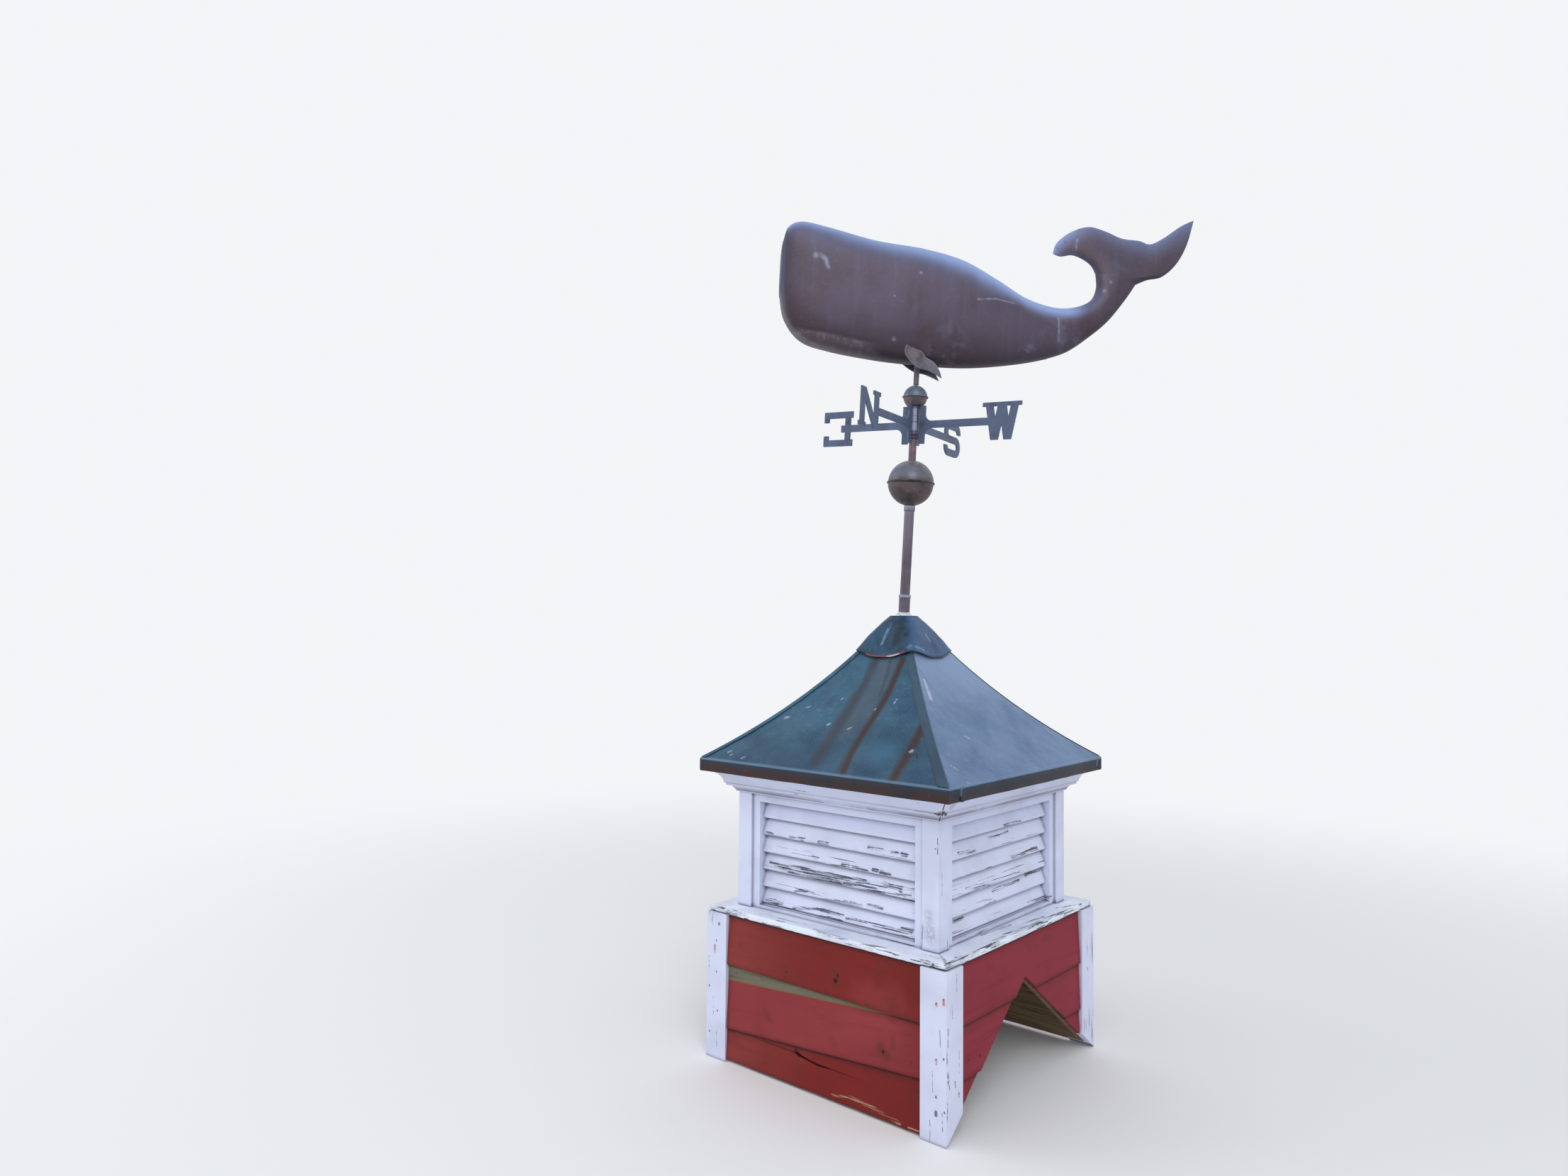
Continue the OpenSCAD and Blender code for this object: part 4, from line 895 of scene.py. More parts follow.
def whale_copper():
    """Mauve-brown copper. The mesh carries ahead and above in metres, crease and rim."""
    g = Graph("whale_copper")
    ahead, above, crease = g.mark("ahead"), g.mark("above"), g.mark("crease")
    at = g.joined(ahead, 0.0, above)
    cloud = g.noise(6, detail=4, rough=0.55)
    small = g.noise(95, detail=6, rough=0.6, shift=3.3)
    stipple = g.cells(330)
    runs = g.noise(1.0, detail=4, at=g.joined(ahead * 38, 0.0, above * 4.5), shift=2.7)
    upward = g.upward()
    g.colour = g.mix(srgb(76, 66, 84), srgb(66, 52, 64), g.step(cloud, 0.4, 0.66))
    g.coat(srgb(92, 80, 98), g.step(small, 0.52, 0.74) * 0.35)
    g.coat(srgb(88, 82, 104), g.step(runs, 0.5, 0.72) * 0.3)
    # Browner towards the belly, and painted shade on what faces down
    belly = g.step(above + ahead * 0.05, 0.09, 0.02) * g.step(ahead, -0.25, -0.1)
    g.coat(srgb(60, 42, 46), belly * 0.5)
    g.coat(srgb(40, 30, 36), g.step(upward, -0.1, -0.85) * 0.6)
    # A painted blue sheen of the sky on what faces up, on the back and the tail, and along the flukes'
    # rim
    aft = g.step(ahead, 0.2, -0.2)
    tail = g.step(ahead, -0.33, -0.39)
    broad_sheen = g.step(upward + (cloud - 0.5) * 0.8, 0.0, 0.5) * (0.35 - tail * 0.2)
    g.coat(srgb(118, 136, 184), broad_sheen)
    rim = g.mark("rim") * g.step(small, 0.1, 0.5) * (0.8 - tail * 0.35)
    g.coat(srgb(128, 150, 198), rim)
    tight = (1 - aft) * 0.12
    blue_above = g.step(upward + (cloud - 0.5) * 0.3 - tight, 0.1, 0.62) * (aft * 0.25 + 0.75)
    blue_above = blue_above * (1 - tail * 0.85)
    g.coat(srgb(142, 166, 216), blue_above)
    # Lighter, scuffed lower jaw under the mouth line
    jaw = g.step(above - ahead * 0.13, 0.024, 0.014) * g.step(ahead, 0.08, 0.14)
    g.coat(srgb(98, 86, 94), jaw * 0.55)
    scuffed = g.step(g.noise(34, detail=5, rough=0.7), 0.46, 0.64)
    g.coat(srgb(120, 108, 112), jaw * scuffed * 0.6)
    # Blue-black front of the head
    g.coat(srgb(26, 42, 74), g.step(ahead, 0.308, 0.316) * 0.85)
    g.coat(srgb(44, 32, 40), g.step(crease, 0.25, 0.9) * 0.7)
    marks = g.patches(WHALE_SCUFFS, at) * g.step(g.noise(70, detail=4), 0.2, 0.6)
    haze = g.patches(WHALE_HAZE, at) * g.step(g.noise(30, detail=5, rough=0.65), 0.45, 0.7) * 0.45
    g.coat(srgb(140, 140, 172), g.math("MAXIMUM", marks, haze) * 0.62)
    # Shade where the fin meets the belly
    g.coat(srgb(34, 32, 44), g.crevice_shade(14) * 0.8)
    height = small * 0.14 + stipple * 0.05 + marks * 0.12
    return g.finish(0.47, height, metal=0.3)


def fin_copper():
    """The mesh carries edge, and drop along the plate in metres."""
    g = Graph("fin_copper")
    cloud = g.noise(34, detail=5, rough=0.6)
    edge, drop = g.mark("edge"), g.mark("drop")
    g.colour = g.mix(srgb(116, 108, 114), srgb(84, 76, 86), g.step(cloud, 0.42, 0.62))
    # Painted grey-blue sheen on the fin's lower part
    g.coat(srgb(104, 112, 130), g.step(drop, 0.03, 0.06) * 0.5)
    g.coat(srgb(146, 150, 168), edge * 0.5)
    return g.finish(0.48, cloud * 0.6, metal=0.3)


def steel():
    g = Graph("steel")
    cloud = g.noise(80, detail=4)
    g.colour = g.mix(srgb(150, 150, 154), srgb(112, 108, 108), g.step(cloud, 0.4, 0.7))
    return g.finish(0.4, cloud * 0.2, metal=0.9)


def caulk():
    g = Graph("caulk")
    lump = g.noise(90, detail=4)
    g.colour = g.mix(CAULK, srgb(176, 176, 186), g.step(lump, 0.5, 0.75))
    return g.finish(0.6, lump * 1.2, specular=0.3)


# Pieces in mesh code

class Piece:
    """Skins of points in millimetres that make one object, with numbers at their points."""

    def __init__(self, *marks):
        self.points, self.faces = [], []
        self.marks = {name: [] for name in marks}

    def skin(self, rows, wrap=False, cap=False, **marks):
        """Faces over rows of points; wrap closes each row, cap closes the first and last."""
        rows = np.asarray(rows, float)
        count, width = rows.shape[:2]
        base = len(self.points)
        self.points.extend(rows.reshape(-1, 3).tolist())
        for name, values in self.marks.items():
            value = np.broadcast_to(np.asarray(marks.get(name, 0.0), float), (count, width))
            values.extend(value.reshape(-1).tolist())
        for r in range(count - 1):
            for c in range(width if wrap else width - 1):
                d = (c + 1) % width
                a, b = base + r * width, base + (r + 1) * width
                self.faces.append((a + c, a + d, b + d, b + c))
        if cap:
            self.faces.append(tuple(base + c for c in reversed(range(width))))
            self.faces.append(tuple(base + (count - 1) * width + c for c in range(width)))

    def make(self, name, material, slot, *replaced, body="cupola", matrix=Matrix(), sharp=40):
        """Turns the skins into an object of one material that stands for CAD nodes, if any."""
        mesh = bpy.data.meshes.new(name)
        mesh.from_pydata(self.points, [], self.faces)
        mesh.transform(matrix @ Matrix.Scale(MM, 4))
        for key, values in self.marks.items():
            layer = mesh.attributes.new(key, "FLOAT", "POINT")
            layer.data.foreach_set("value", np.asarray(values, np.float32))
        work = bmesh.new()
        work.from_mesh(mesh)
        bmesh.ops.remove_doubles(work, verts=work.verts, dist=1e-6)
        bmesh.ops.recalc_face_normals(work, faces=work.faces)
        work.to_mesh(mesh)
        work.free()
        mesh.shade_smooth()
        mesh.set_sharp_from_angle(angle=math.radians(sharp))
        mesh.materials.append(material)
        piece = bpy.data.objects.new(name, mesh)
        bpy.context.scene.collection.objects.link(piece)
        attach(piece, body)
        if replaced:
            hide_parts(*replaced)
        return piece


def placed(turn, along, out, z):
    """Points at a distance along a side, a distance out from the axis and a height."""
    c, s = round(math.cos(math.radians(turn))), round(math.sin(math.radians(turn)))
    return np.stack(np.broadcast_arrays(along * c + out * s, along * s - out * c, z), -1)


def round_points(radius, angle, z):
    """Points at radii, angles about the upright axis and heights."""
    return np.stack(np.broadcast_arrays(radius * np.cos(angle), radius * np.sin(angle), z), -1)


def rough(points, size, seed):
    """Smooth random numbers from about -1 to 1 at points, their bumps of that size in mm."""
    flat = np.asarray(points, float).reshape(-1, 3) / size + seed * 7.31
    values = [noise.noise(Vector(p)) for p in flat]
    return np.array(values).reshape(np.asarray(points).shape[:-1])


def saddle(along):
    """Height of the notch's slopes at a distance from the ridge."""
    return SADDLE_RISE * (BASE_HALF - np.abs(along))


# Clapboards

# The split in the front's lowest board: distance along, height, opening
SPLIT = [
    (-182, 70, 0.0), (-140, 69.5, 0.7), (-83, 70, 0.8), (-58, 69.5, 1.1), (-49, 69, 5.0),
    (-37, 66, 4.6), (-22, 64, 3.2), (5, 61, 3.4), (21, 62, 2.6), (37, 62.5, 1.0), (63, 62.5, 0.8),
    (113, 62, 0.0),
]


def clapboard(piece, turn, low, high, start, end, seed, drop=0.0, over=0.0, split=None):
    """One board between two places along its side, cut below by the saddle.

    drop is how far its left end has slipped, and over the same for the board above it.
    """
    step = 5.0
    along = np.linspace(start, end, max(3, int((end - start) / step) + 1))
    left = (CLAP_HALF - along) / (2 * CLAP_HALF)
    sag = drop * left
    cover = low + COURSE - over * left if high < BASE_TOP else BASE_TOP + 0 * along
    foot, head = low - sag, np.minimum(high - sag, BASE_TOP)
    gable = turn in (RIGHT, LEFT)
    if gable:
        cut = np.maximum(foot, saddle(along))
    else:
        cut = np.maximum(foot, saddle(SHEATH_HALF + CLAP_BUTT))
    wave = rough(placed(turn, along, SHEATH_HALF, foot), 45, seed)
    cut = cut + 0.7 * wave * (cut <= foot)
    span = high - low

    def thick(z):
        return CLAP_BUTT + (CLAP_EDGE - CLAP_BUTT) * (z - foot) / span

    shares = np.linspace(0, 1, max(4, int(span / step) + 1))
    face_foot = cut + 1.5
    if split is None:
        heights = [face_foot + (head - face_foot) * s for s in shares]
        depths = [0.0] * len(heights)
    else:
        xs, zs, gaps = zip(*split)
        line, gap = np.interp(along, xs, zs), np.interp(along, xs, gaps)
        lip = 0.15 + gap / 2
        heights = [face_foot + (line - lip - face_foot) * s for s in shares]
        heights += [line - lip * 0.6, line + lip * 0.6]
        heights += [line + lip + (head - line - lip) * s for s in shares]
        deep = np.minimum(gap * 1.6, 6)
        proud = 0.45 * np.minimum(gap, 3)
        depths = [proud * s for s in shares] + [-deep, -deep] + [0.0] * len(shares)
    back_foot = cut if gable else np.maximum(cut, saddle(SHEATH_HALF))
    rows = [
        (0.0 * along, back_foot, 0.0), (thick(cut) - 1.4, cut, 0.0),
        (thick(cut) - 0.4, cut + 0.4, 0.0),
    ]
    rows += [(thick(z) + d, z, 1.0) for z, d in zip(heights, depths)]
    rows.append((0.0 * along, head, 0.0))
    out = np.array([np.broadcast_to(r[0], along.shape) for r in rows]).T + SHEATH_HALF
    z = np.array([np.broadcast_to(r[1], along.shape) for r in rows]).T
    face = np.array([r[2] for r in rows])
    points = placed(turn, along[:, None], out, z)
    cup = rough(points, 90, seed + 3) * 0.7 * face
    points = placed(turn, along[:, None], out + cup, z)
    crack = np.zeros(z.shape)
    if split is not None:
        first = 3 + len(shares)
        crack[:, first:first + 2] = np.minimum(gap, 1)[:, None]
        crack[:, first - 1] = crack[:, first + 2] = np.minimum(gap, 1) * 0.3
    piece.skin(
        points, wrap=True, cap=True, seed=seed, crack=crack,
        up=np.minimum(z - foot[:, None], COURSE - 1 if high == BASE_TOP else high) * MM,
        under=(cover[:, None] - z) * MM, along=along[:, None] * MM,
    )


def clapboards(side, turn, material):
    """The courses of one side; the front's second board has slipped at its left end."""
    piece = Piece("up", "under", "along", "seed", "crack")
    gable = turn in (RIGHT, LEFT)
    lift = GABLE_LIFT if gable else FRONT_LIFT
    courses = round((BASE_TOP - lift) / COURSE)
    for i in range(courses):
        low = lift + i * COURSE
        high = min(low + COURSE + CLAP_LAP, BASE_TOP)
        spans = [(-CLAP_HALF, CLAP_HALF)]
        reach = BASE_HALF - high / SADDLE_RISE + 2
        if gable and reach > 0:
            spans = [(-CLAP_HALF, -reach), (reach, CLAP_HALF)]
        slipped = turn == FRONT and i == courses - 2
        split = SPLIT if turn == FRONT and i == 0 else None
        for start, end in spans:
            clapboard(
                piece, turn, low, high, start, end, seed=turn / 90 * 5 + i + 1,
                drop=SLIP if slipped else 0.0, split=split,
                over=SLIP if turn == FRONT and i == courses - 3 else 0.0,
            )
    piece.make("boards_" + side, material, "barn_red_wood", "clapboards_" + side, sharp=50)


# Mitred lengths of wood and copper round the body

def mitred(piece, turn, profile, shape=None, ends=(0.0, 0.0), wrap=True, step=5.0, **marks):
    """A profile of (out, height) run along a side between its mitres.

    shape moves the points, and ends is how far each end stops short of its mitre.
    """
    profile = np.asarray(profile, float)
    count = int(2 * profile[:, 0].max() / step) + 1
    share = np.linspace(0, 1, count)[:, None]
    out, z = profile[None, :, 0], profile[None, :, 1]
    first, last = -out + ends[0], out - ends[1]
    along = first + (last - first) * share
    out, z = np.broadcast_to(out, along.shape).copy(), np.broadcast_to(z, along.shape).copy()
    if shape is not None:
        out, z = shape(along, out, z)
    piece.skin(placed(turn, along, out, z), wrap=wrap, cap=wrap, **marks)


def sill(side, turn, material):
    """A mitred sill board whose outer edge is chipped and weathered."""
    piece = Piece()
    low, high, face = BASE_TOP, SILL_TOP, SILL_HALF
    profile = [(SILL_INNER, low), (face - 24, low), (face - 8, low), (face - 1.6, low)]
    profile += [(face - 0.4, low + 1.2), (face, low + 3), (face, (low + high) / 2), (face, high - 3)]
    profile += [(face - 0.6, high - 0.9), (face - 2.2, high), (face - 8, high), (face - 24, high)]
    profile += [(face - 44, high), (SILL_INNER, high)]

    def weather(along, out, z):
        at = placed(turn, along, out, z)
        edge = np.clip((out - (face - 9)) / 9, 0, 1)
        chips = np.clip(rough(at, 16, turn + 2) - 0.18, 0, 1) * 3.4
        wear = np.abs(rough(at, 60, turn + 5)) * 1.2
        out = out - edge * (chips + wear)
        corner = np.abs((z - (low + high) / 2) / ((high - low) / 2)) ** 4
        z = z - np.sign(z - (low + high) / 2) * corner * edge * chips * 0.5
        return out, z

    mitred(piece, turn, profile, shape=weather, step=3.0, ends=(0.25, 0.25))
    piece.make("sill_board_" + side, material, "white_painted_wood", "sill_" + side, sharp=45)


def crown(side, turn, material):
    """Crown moulding; two lengths meet at the broken corner of front and right."""
    piece = Piece("groove")
    low, top = CROWN_LOW, BODY_TOP
    bead = low + 13
    start, stop = np.array((24.0, bead + 6)), np.array((CROWN_HALF - BODY_HALF, top - 4))
    way = stop - start
    hollow = 0.125 * np.linalg.norm(way) * np.array((way[1], -way[0])) / np.linalg.norm(way)
    shares = np.linspace(0, 1, 13)
    cove = [start + way * t - hollow * 4 * t * (1 - t) for t in shares]
    profile = [(0, low), (4.2, low), (5, low + 0.8), (5, low + 3), (9.5, low + 8.6), (14, bead)]
    profile += [(20.2, bead), (21, bead + 0.8), (21, bead + 5.2), (21.6, bead + 6)]
    profile += [tuple(p) for p in cove] + [(41, top - 0.8), (40.2, top), (0, top)]
    profile = [(BODY_HALF + o, z) for o, z in profile]
    broken = {FRONT: 1, RIGHT: -1}.get(turn)

    def damage(along, out, z):
        at = placed(turn, along, out, z)
        out = out + rough(at, 70, turn + 9) * 0.35 * (out > BODY_HALF + 2)
        if broken:
            near = np.clip(1 - (out - broken * along) / 26, 0, 1)
            bite = np.clip(rough(at, 7, turn + 4) + 0.1, 0, 1)
            line = np.clip(1 - np.abs(z - MITRE_Z) / 9, 0, 1)
            out = out - near * bite * 7 * line
        return out, z

    ends = [0.15, 0.15]
    if broken:
        jag = 0.3 + 1.2 * np.abs(np.sin(np.arange(len(profile)) * 1.9))
        ends[1 if broken > 0 else 0] = jag[None, :]
    groove = np.zeros(len(profile))
    groove[[3, 9]] = 1.0
    groove[[4, 10]] = 0.5
    mitred(piece, turn, profile, shape=damage, ends=ends, step=3.0, groove=groove)
    piece.make("moulding_" + side, material, "white_painted_wood", "crown_" + side, sharp=32)


def rail_beads(material):
    """The lowest slats are caulked and painted to their rails."""
    piece = Piece()
    low, out = SILL_TOP + RAIL - 0.5, PANEL_FACE - 11
    for turn in SIDES.values():
        along = np.linspace(-SLAT_HALF, SLAT_HALF, 60)[:, None]
        profile = [(out, low), (out - 0.6, low + 1.6), (out - 2.5, low + 3)]
        profile += [(out - 6, low + 3), (out - 6, low)]
        line = np.array(profile)[None, :, :]
        points = placed(turn, along, line[..., 0] + 0 * along, line[..., 1] + 0 * along)
        piece.skin(points, wrap=True, cap=True)
    piece.make("rail_beads", material, "white_painted_wood")


# Copper roof

CHORD = np.array((SLOPE_TOP_HALF - EAVE_HALF, SLOPE_END - SLOPE_BASE))
CHORD_LEN = np.linalg.norm(CHORD)
CURVE_BACK = math.sqrt(SLOPE_RADIUS**2 - CHORD_LEN**2 / 4)
CURVE_CENTRE = (
    (EAVE_HALF + SLOPE_TOP_HALF) / 2 + CURVE_BACK * CHORD[1] / CHORD_LEN,
    (SLOPE_BASE + SLOPE_END) / 2 - CURVE_BACK * CHORD[0] / CHORD_LEN,
)


def roof_half(z):
    """Half width of the roof at a height."""
    return CURVE_CENTRE[0] - np.sqrt(SLOPE_RADIUS**2 - (z - CURVE_CENTRE[1]) ** 2)


def roof_normal(z):
    """Outward normal of a slope in its section: out and up."""
    n = np.stack([CURVE_CENTRE[0] - roof_half(z), CURVE_CENTRE[1] - z], -1)
    return n / np.linalg.norm(n, axis=-1, keepdims=True)


def on_slope(turn, along, z, lift):
    """Points at heights on a slope, lifted square off it."""
    n = roof_normal(z)
    return placed(turn, along, roof_half(z) + n[..., 0] * lift, z + n[..., 1] * lift)


def slope(piece, turn, rows=72, columns=120):
    """One hollow slope, its sheet gently oil-canned between the hips."""
    z = np.linspace(SLOPE_END, SLOPE_BASE + 1.2, rows)[:, None]
    share = np.linspace(-1, 1, columns)[None, :]
    half = roof_half(z)
    along = half * share
    at = placed(turn, along, half + 0 * share, z + 0 * share)
    calm = np.clip((1 - np.abs(share)) * half / 30, 0, 1) * np.clip((z - SLOPE_BASE) / 18, 0, 1)
    wave = rough(at, 85, turn + 1) * 2.2 + rough(at, 32, turn + 6) * 0.7
    points = on_slope(turn, along, z, np.maximum(wave, -0.8) * calm)
    length = np.concatenate([[0], np.cumsum(np.hypot(np.diff(half[:, 0]), np.diff(z[:, 0])))])
    piece.skin(points, across=along * MM, down=length[:, None] * MM)


def lap(piece, turn, sign, rows=60):
    """The strip of a side sheet that is turned over a hip and dressed flat."""
    z = np.linspace(SLOPE_END, SLOPE_BASE + 1.4, rows)[:, None]
    half = roof_half(z)
    t = (SLOPE_END - z) / (SLOPE_END - SLOPE_BASE)
    wander = rough(placed(turn, sign * half, half, z), 40, turn + sign)
    near = (turn == FRONT) == (sign > 0)
    width = (19 + 4 * t + wander * 4) if near else 13 + wander * 2.5
    steps = np.array([[0.0, 0.0, 0.3, 0.65, 1.0]])
    lift = np.array([[0.2, 2.2, 2.0, 1.9, 1.6]])
    along = sign * (half - width + width * steps)
    points = on_slope(turn, along, z, lift)
    shade = np.array([[1.0, 1.0, 0.85, 0.85, 0.9]]) * near
    edge = np.array([[1.0, 0.5, 0.0, 0.0, 0.0]]) * (0.8 if near else 0.3)
    piece.skin(points, across=along * MM, down=t * 0.37, lap=shade, edge=edge)


def drip_edge(piece, turn):
    """The copper folded down over the eave, with its hem turned in below."""
    top, low, face = SLOPE_BASE, HEM_LOW, EAVE_HALF
    lip = roof_half(top + 1.2)
    profile = [(lip, top + 1.2), (face - 0.5, top + 0.3), (face, top - 0.9), (face, top - 6)]
    profile += [(face, (top + low) / 2), (face, low + 5), (face - 0.3, low + 1.4)]
    profile += [(face - 1.3, low + 0.3), (face - 4, low), (face - 11, low + 0.2)]
    profile += [(face - 11, low + 1.2), (face - 3, low + 1.5)]

    def wavy(along, out, z):
        at = placed(turn, along, out, z)
        hang = np.clip((top - z) / (top - low), 0, 1)
        free = np.clip((out - np.abs(along)) / 12, 0, 1)
        out = out + rough(at, 60, turn + 8) * 1.1 * hang * free - 0.6 * hang * free
        z = z + rough(placed(turn, along, 0 * out, 0 * z), 75, turn + 3) * 0.9 * hang * free
        return out, z

    mitred(piece, turn, profile, shape=wavy, wrap=False, step=4.0, across=0.0, down=0.4)


def edge_seam(piece):
    """The folded seam in the right side's drip edge, near the broken corner."""
    face, y = EAVE_HALF, -EAVE_HALF + 44
    rows = []
    for z in np.linspace(HEM_LOW + 0.6, SLOPE_BASE - 1, 8):
        rows.append([(face + 0.2, y - 6, z), (face + 1.6, y - 5, z), (face + 1.9, y + 3, z)])
        rows[-1] += [(face + 1.6, y + 5, z), (face - 0.4, y + 6, z)]
    piece.skin(rows, down=0.4)


def copper_roof(material):
    """Four slopes, the laps over their hips and the drip edge, as one skin."""
    piece = Piece("across", "down", "lap", "edge")
    for turn in SIDES.values():
        slope(piece, turn)
        drip_edge(piece, turn)
    for turn in (FRONT, BACK):
        for sign in (-1, 1):
            lap(piece, turn, sign)
    edge_seam(piece)
    piece.make("roof_sheets", material, "patina_copper", "copper_roof", sharp=28)


def cap_radius(drop, angle):
    share = drop / (CAP_TOP - SLOPE_END + CAP_SKIRT + SCALLOP)
    apothem = CAP_DISC + (CAP_FOOT - CAP_DISC) * share * (1 + CAP_SWELL * (1 - share))
    power = 2 + 8 * share
    return apothem / (np.abs(np.cos(angle)) ** power + np.abs(np.sin(angle)) ** power) ** (1 / power)


def roof_cap(material):
    """The scalloped cap: a lobe hangs over each slope, and peaks stand over the hips."""
    piece = Piece("down", "around", "edge")
    rise = CAP_TOP - SLOPE_END
    angle = np.linspace(0, 2 * math.pi, 193)[None, :-1]
    share = np.linspace(0, 1, 40)[:, None]
    depth = rise + CAP_SKIRT + SCALLOP * (1 - np.sin(2 * angle) ** 4)
    drop = depth * share

    def skin(inset):
        r = cap_radius(drop, angle) - inset
        at = round_points(r, angle, CAP_TOP - drop)
        dent = rough(at, 22, 3) * 1.4 + rough(at, 9, 5) * 0.4
        hem = np.clip((share - 0.86) / 0.14, 0, 1)
        r = r + dent * np.sin(math.pi * share) + hem**2 * (1.6 + rough(at, 14, 8) * 1.2)
        top = np.where(share > 0, 0.0, inset)
        return round_points(r, angle, CAP_TOP - drop - top)

    edge = np.clip((share - 0.955) / 0.04, 0, 1) + 0 * angle
    around = angle + 0 * share
    outer, inner = skin(0.0), skin(COPPER)[::-1]
    marks = dict(down=drop * MM, around=around, edge=edge)
    piece.skin(outer, wrap=True, **marks)
    piece.skin(np.concatenate([outer[-1:], inner]), wrap=True, down=0.09, edge=1.0)
    lid_r = np.array([[POLE_R * 0.9, 20, CAP_DISC - 1.5]]).T
    lid = round_points(lid_r, angle, CAP_TOP)
    piece.skin(np.concatenate([lid, outer[:1]]), wrap=True)
    piece.make("cap", material, "patina_copper", "roof_cap", sharp=35)


# Vane: what stands on the leaning pole is drawn upright and leaned as one

JOINT = frame["joints"][0]
LEAN = Vector((0, 0, 1)).rotation_difference(Vector(JOINT["axis"])).to_matrix().to_4x4()
ON_POLE = Matrix.Translation(Vector(JOINT["pos_m"])) @ LEAN


def up_pole(node):
    """Lowest and highest place of a CAD node along the pole, above the cap, in mm."""
    back = ON_POLE.inverted()
    places = [(back @ v.co).z / MM for v in frame["nodes"][node].data.vertices]
    return min(places), max(places)


POLE_R = 11
COLLAR_R = POLE_R + 1.5
POLE_FADE = (1.08, 1.16)  # heights in metres between which the pole turns lighter
COLLAR_TOP = up_pole("vane_pole")[1]
COLLAR_LOW = COLLAR_TOP - 13
GLOBE_R = 51
SMALL_R = 26.5
SMALL_FOOT_R = 17
RIM = 2.4  # of the globes' folded edges
NECK_R = 8.5
SPINDLE_R = 4
HUB_LOW, HUB_TOP = up_pole("hub")
GLOBE_AT = sum(up_pole("globe")) / 2
SMALL_AT = up_pole("small_globe")[1] - math.sqrt(SMALL_R**2 - SPINDLE_R**2)


def revolve(piece, profile, sides=64, dent=0.0, size=20.0, seed=1, **marks):
    """A profile of (radius, height) turned about the pole, with slight dents."""
    r, z = (np.array(v, float)[:, None] for v in zip(*profile))
    angle = np.linspace(0, 2 * math.pi, sides + 1)[None, :-1]
    r = r + rough(round_points(r, angle, z), size, seed) * dent
    piece.skin(round_points(r, angle, z), wrap=True, **marks)


def pole(material):
    """The tube with a sleeve and a bead at its foot, and the collar under the big globe."""
    piece = Piece("pale")
    ring = POLE_R + 2.6
    foot, bore = up_pole("vane_pole")[0], POLE_R - 2
    profile = [(bore, foot), (POLE_R, foot), (POLE_R, 0)]
    profile += [(COLLAR_R, 0.5), (COLLAR_R, 20), (COLLAR_R, 38.6), (COLLAR_R + 0.4, 40)]
    profile += [(ring, 41), (ring + 0.3, 43.5), (ring, 46), (POLE_R + 0.5, 47.4)]
    profile += [(POLE_R, z) for z in np.linspace(48, COLLAR_LOW - 0.5, 24)]
    profile += [(POLE_R + 0.8, COLLAR_LOW), (COLLAR_R, COLLAR_LOW + 1), (COLLAR_R, COLLAR_TOP - 1)]
    profile += [(COLLAR_R - 0.8, COLLAR_TOP - 0.1), (5, COLLAR_TOP - 0.1)]
    worn = [[float(40 < z < 47 or z > COLLAR_TOP - 4)] for _, z in profile]
    revolve(piece, profile, dent=0.25, size=30, seed=2, pale=worn)
    piece.make("pole", material, "brown_copper", "vane_pole", matrix=ON_POLE, sharp=35)


def ball(name, node, at, r, foot_r, head_r, material, seed):
    """A ball of two dished halves whose rims are folded together."""
    piece = Piece("up")
    low, high = -math.sqrt(r * r - foot_r**2), math.sqrt(r * r - head_r**2)
    profile = [(foot_r * 0.6, low)]
    for turn in np.linspace(math.asin(low / r), -0.06, 22):
        profile.append((r * math.cos(turn), r * math.sin(turn)))
    profile += [(r + RIM * 0.8, -1.5), (r + RIM, -0.9), (r + RIM, 0.1), (r + RIM * 0.7, 0.5)]
    profile += [(r + RIM, 0.9), (r + RIM * 0.8, 1.5)]
    for turn in np.linspace(0.06, math.asin(high / r), 22):
        profile.append((r * math.cos(turn), r * math.sin(turn)))
    profile.append((head_r * 0.6, high))
    marks = np.array([z / r for _, z in profile])[:, None]
    profile = [(rad, at + z) for rad, z in profile]
    revolve(piece, profile, sides=96, dent=0.35, size=r * 0.5, seed=seed, up=marks)
    piece.make(name, material, "brown_copper", node, matrix=ON_POLE, sharp=30)


def neck(material):
    """The short tube between the big globe and the hub."""
    piece = Piece()
    low, high = up_pole("neck_tube")
    profile = [(5, low), (NECK_R, low + 0.4)]
    profile += [(NECK_R, z) for z in np.linspace(low + 1, high - 1, 10)]
    profile += [(NECK_R, high - 0.3), (5, high)]
    revolve(piece, profile, dent=0.3, size=14, seed=6)
    piece.make("neck", material, "red_copper", "neck_tube", matrix=ON_POLE)


def hub(material):
    """The tube that holds the arms, with two bands at its foot and one at its head."""
    piece = Piece("height", "lean")
    ring, r, band, groove = 13, 10.5, 5, 3
    bands = [HUB_LOW, HUB_LOW + band + groove, HUB_TOP - band]
    profile = [(5, HUB_LOW)]
    for low in bands:
        high = low + band
        profile += [(r, low - 0.3)] if low > HUB_LOW else []
        profile += [(ring - 0.7, low), (ring, low + 0.8), (ring, high - 0.8), (ring - 0.7, high)]
        profile += [(r, high + 0.3)] if high < HUB_TOP else [(5, high)]
        if low == bands[1]:
            profile += [(r, z) for z in np.linspace(high + 2, bands[2] - 2, 10)]
    height = np.array([[(z - HUB_LOW) * MM] for _, z in profile])
    middle = ON_POLE @ Vector((0, 0, (HUB_LOW + HUB_TOP) / 2 * MM))
    lean = -(middle.x * REFLECTION_ACROSS[0] + middle.y * REFLECTION_ACROSS[1])
    revolve(piece, profile, dent=0.2, size=9, seed=8, height=height, lean=lean)
    piece.make("hub_tube", material, "brown_copper", "hub", matrix=ON_POLE)


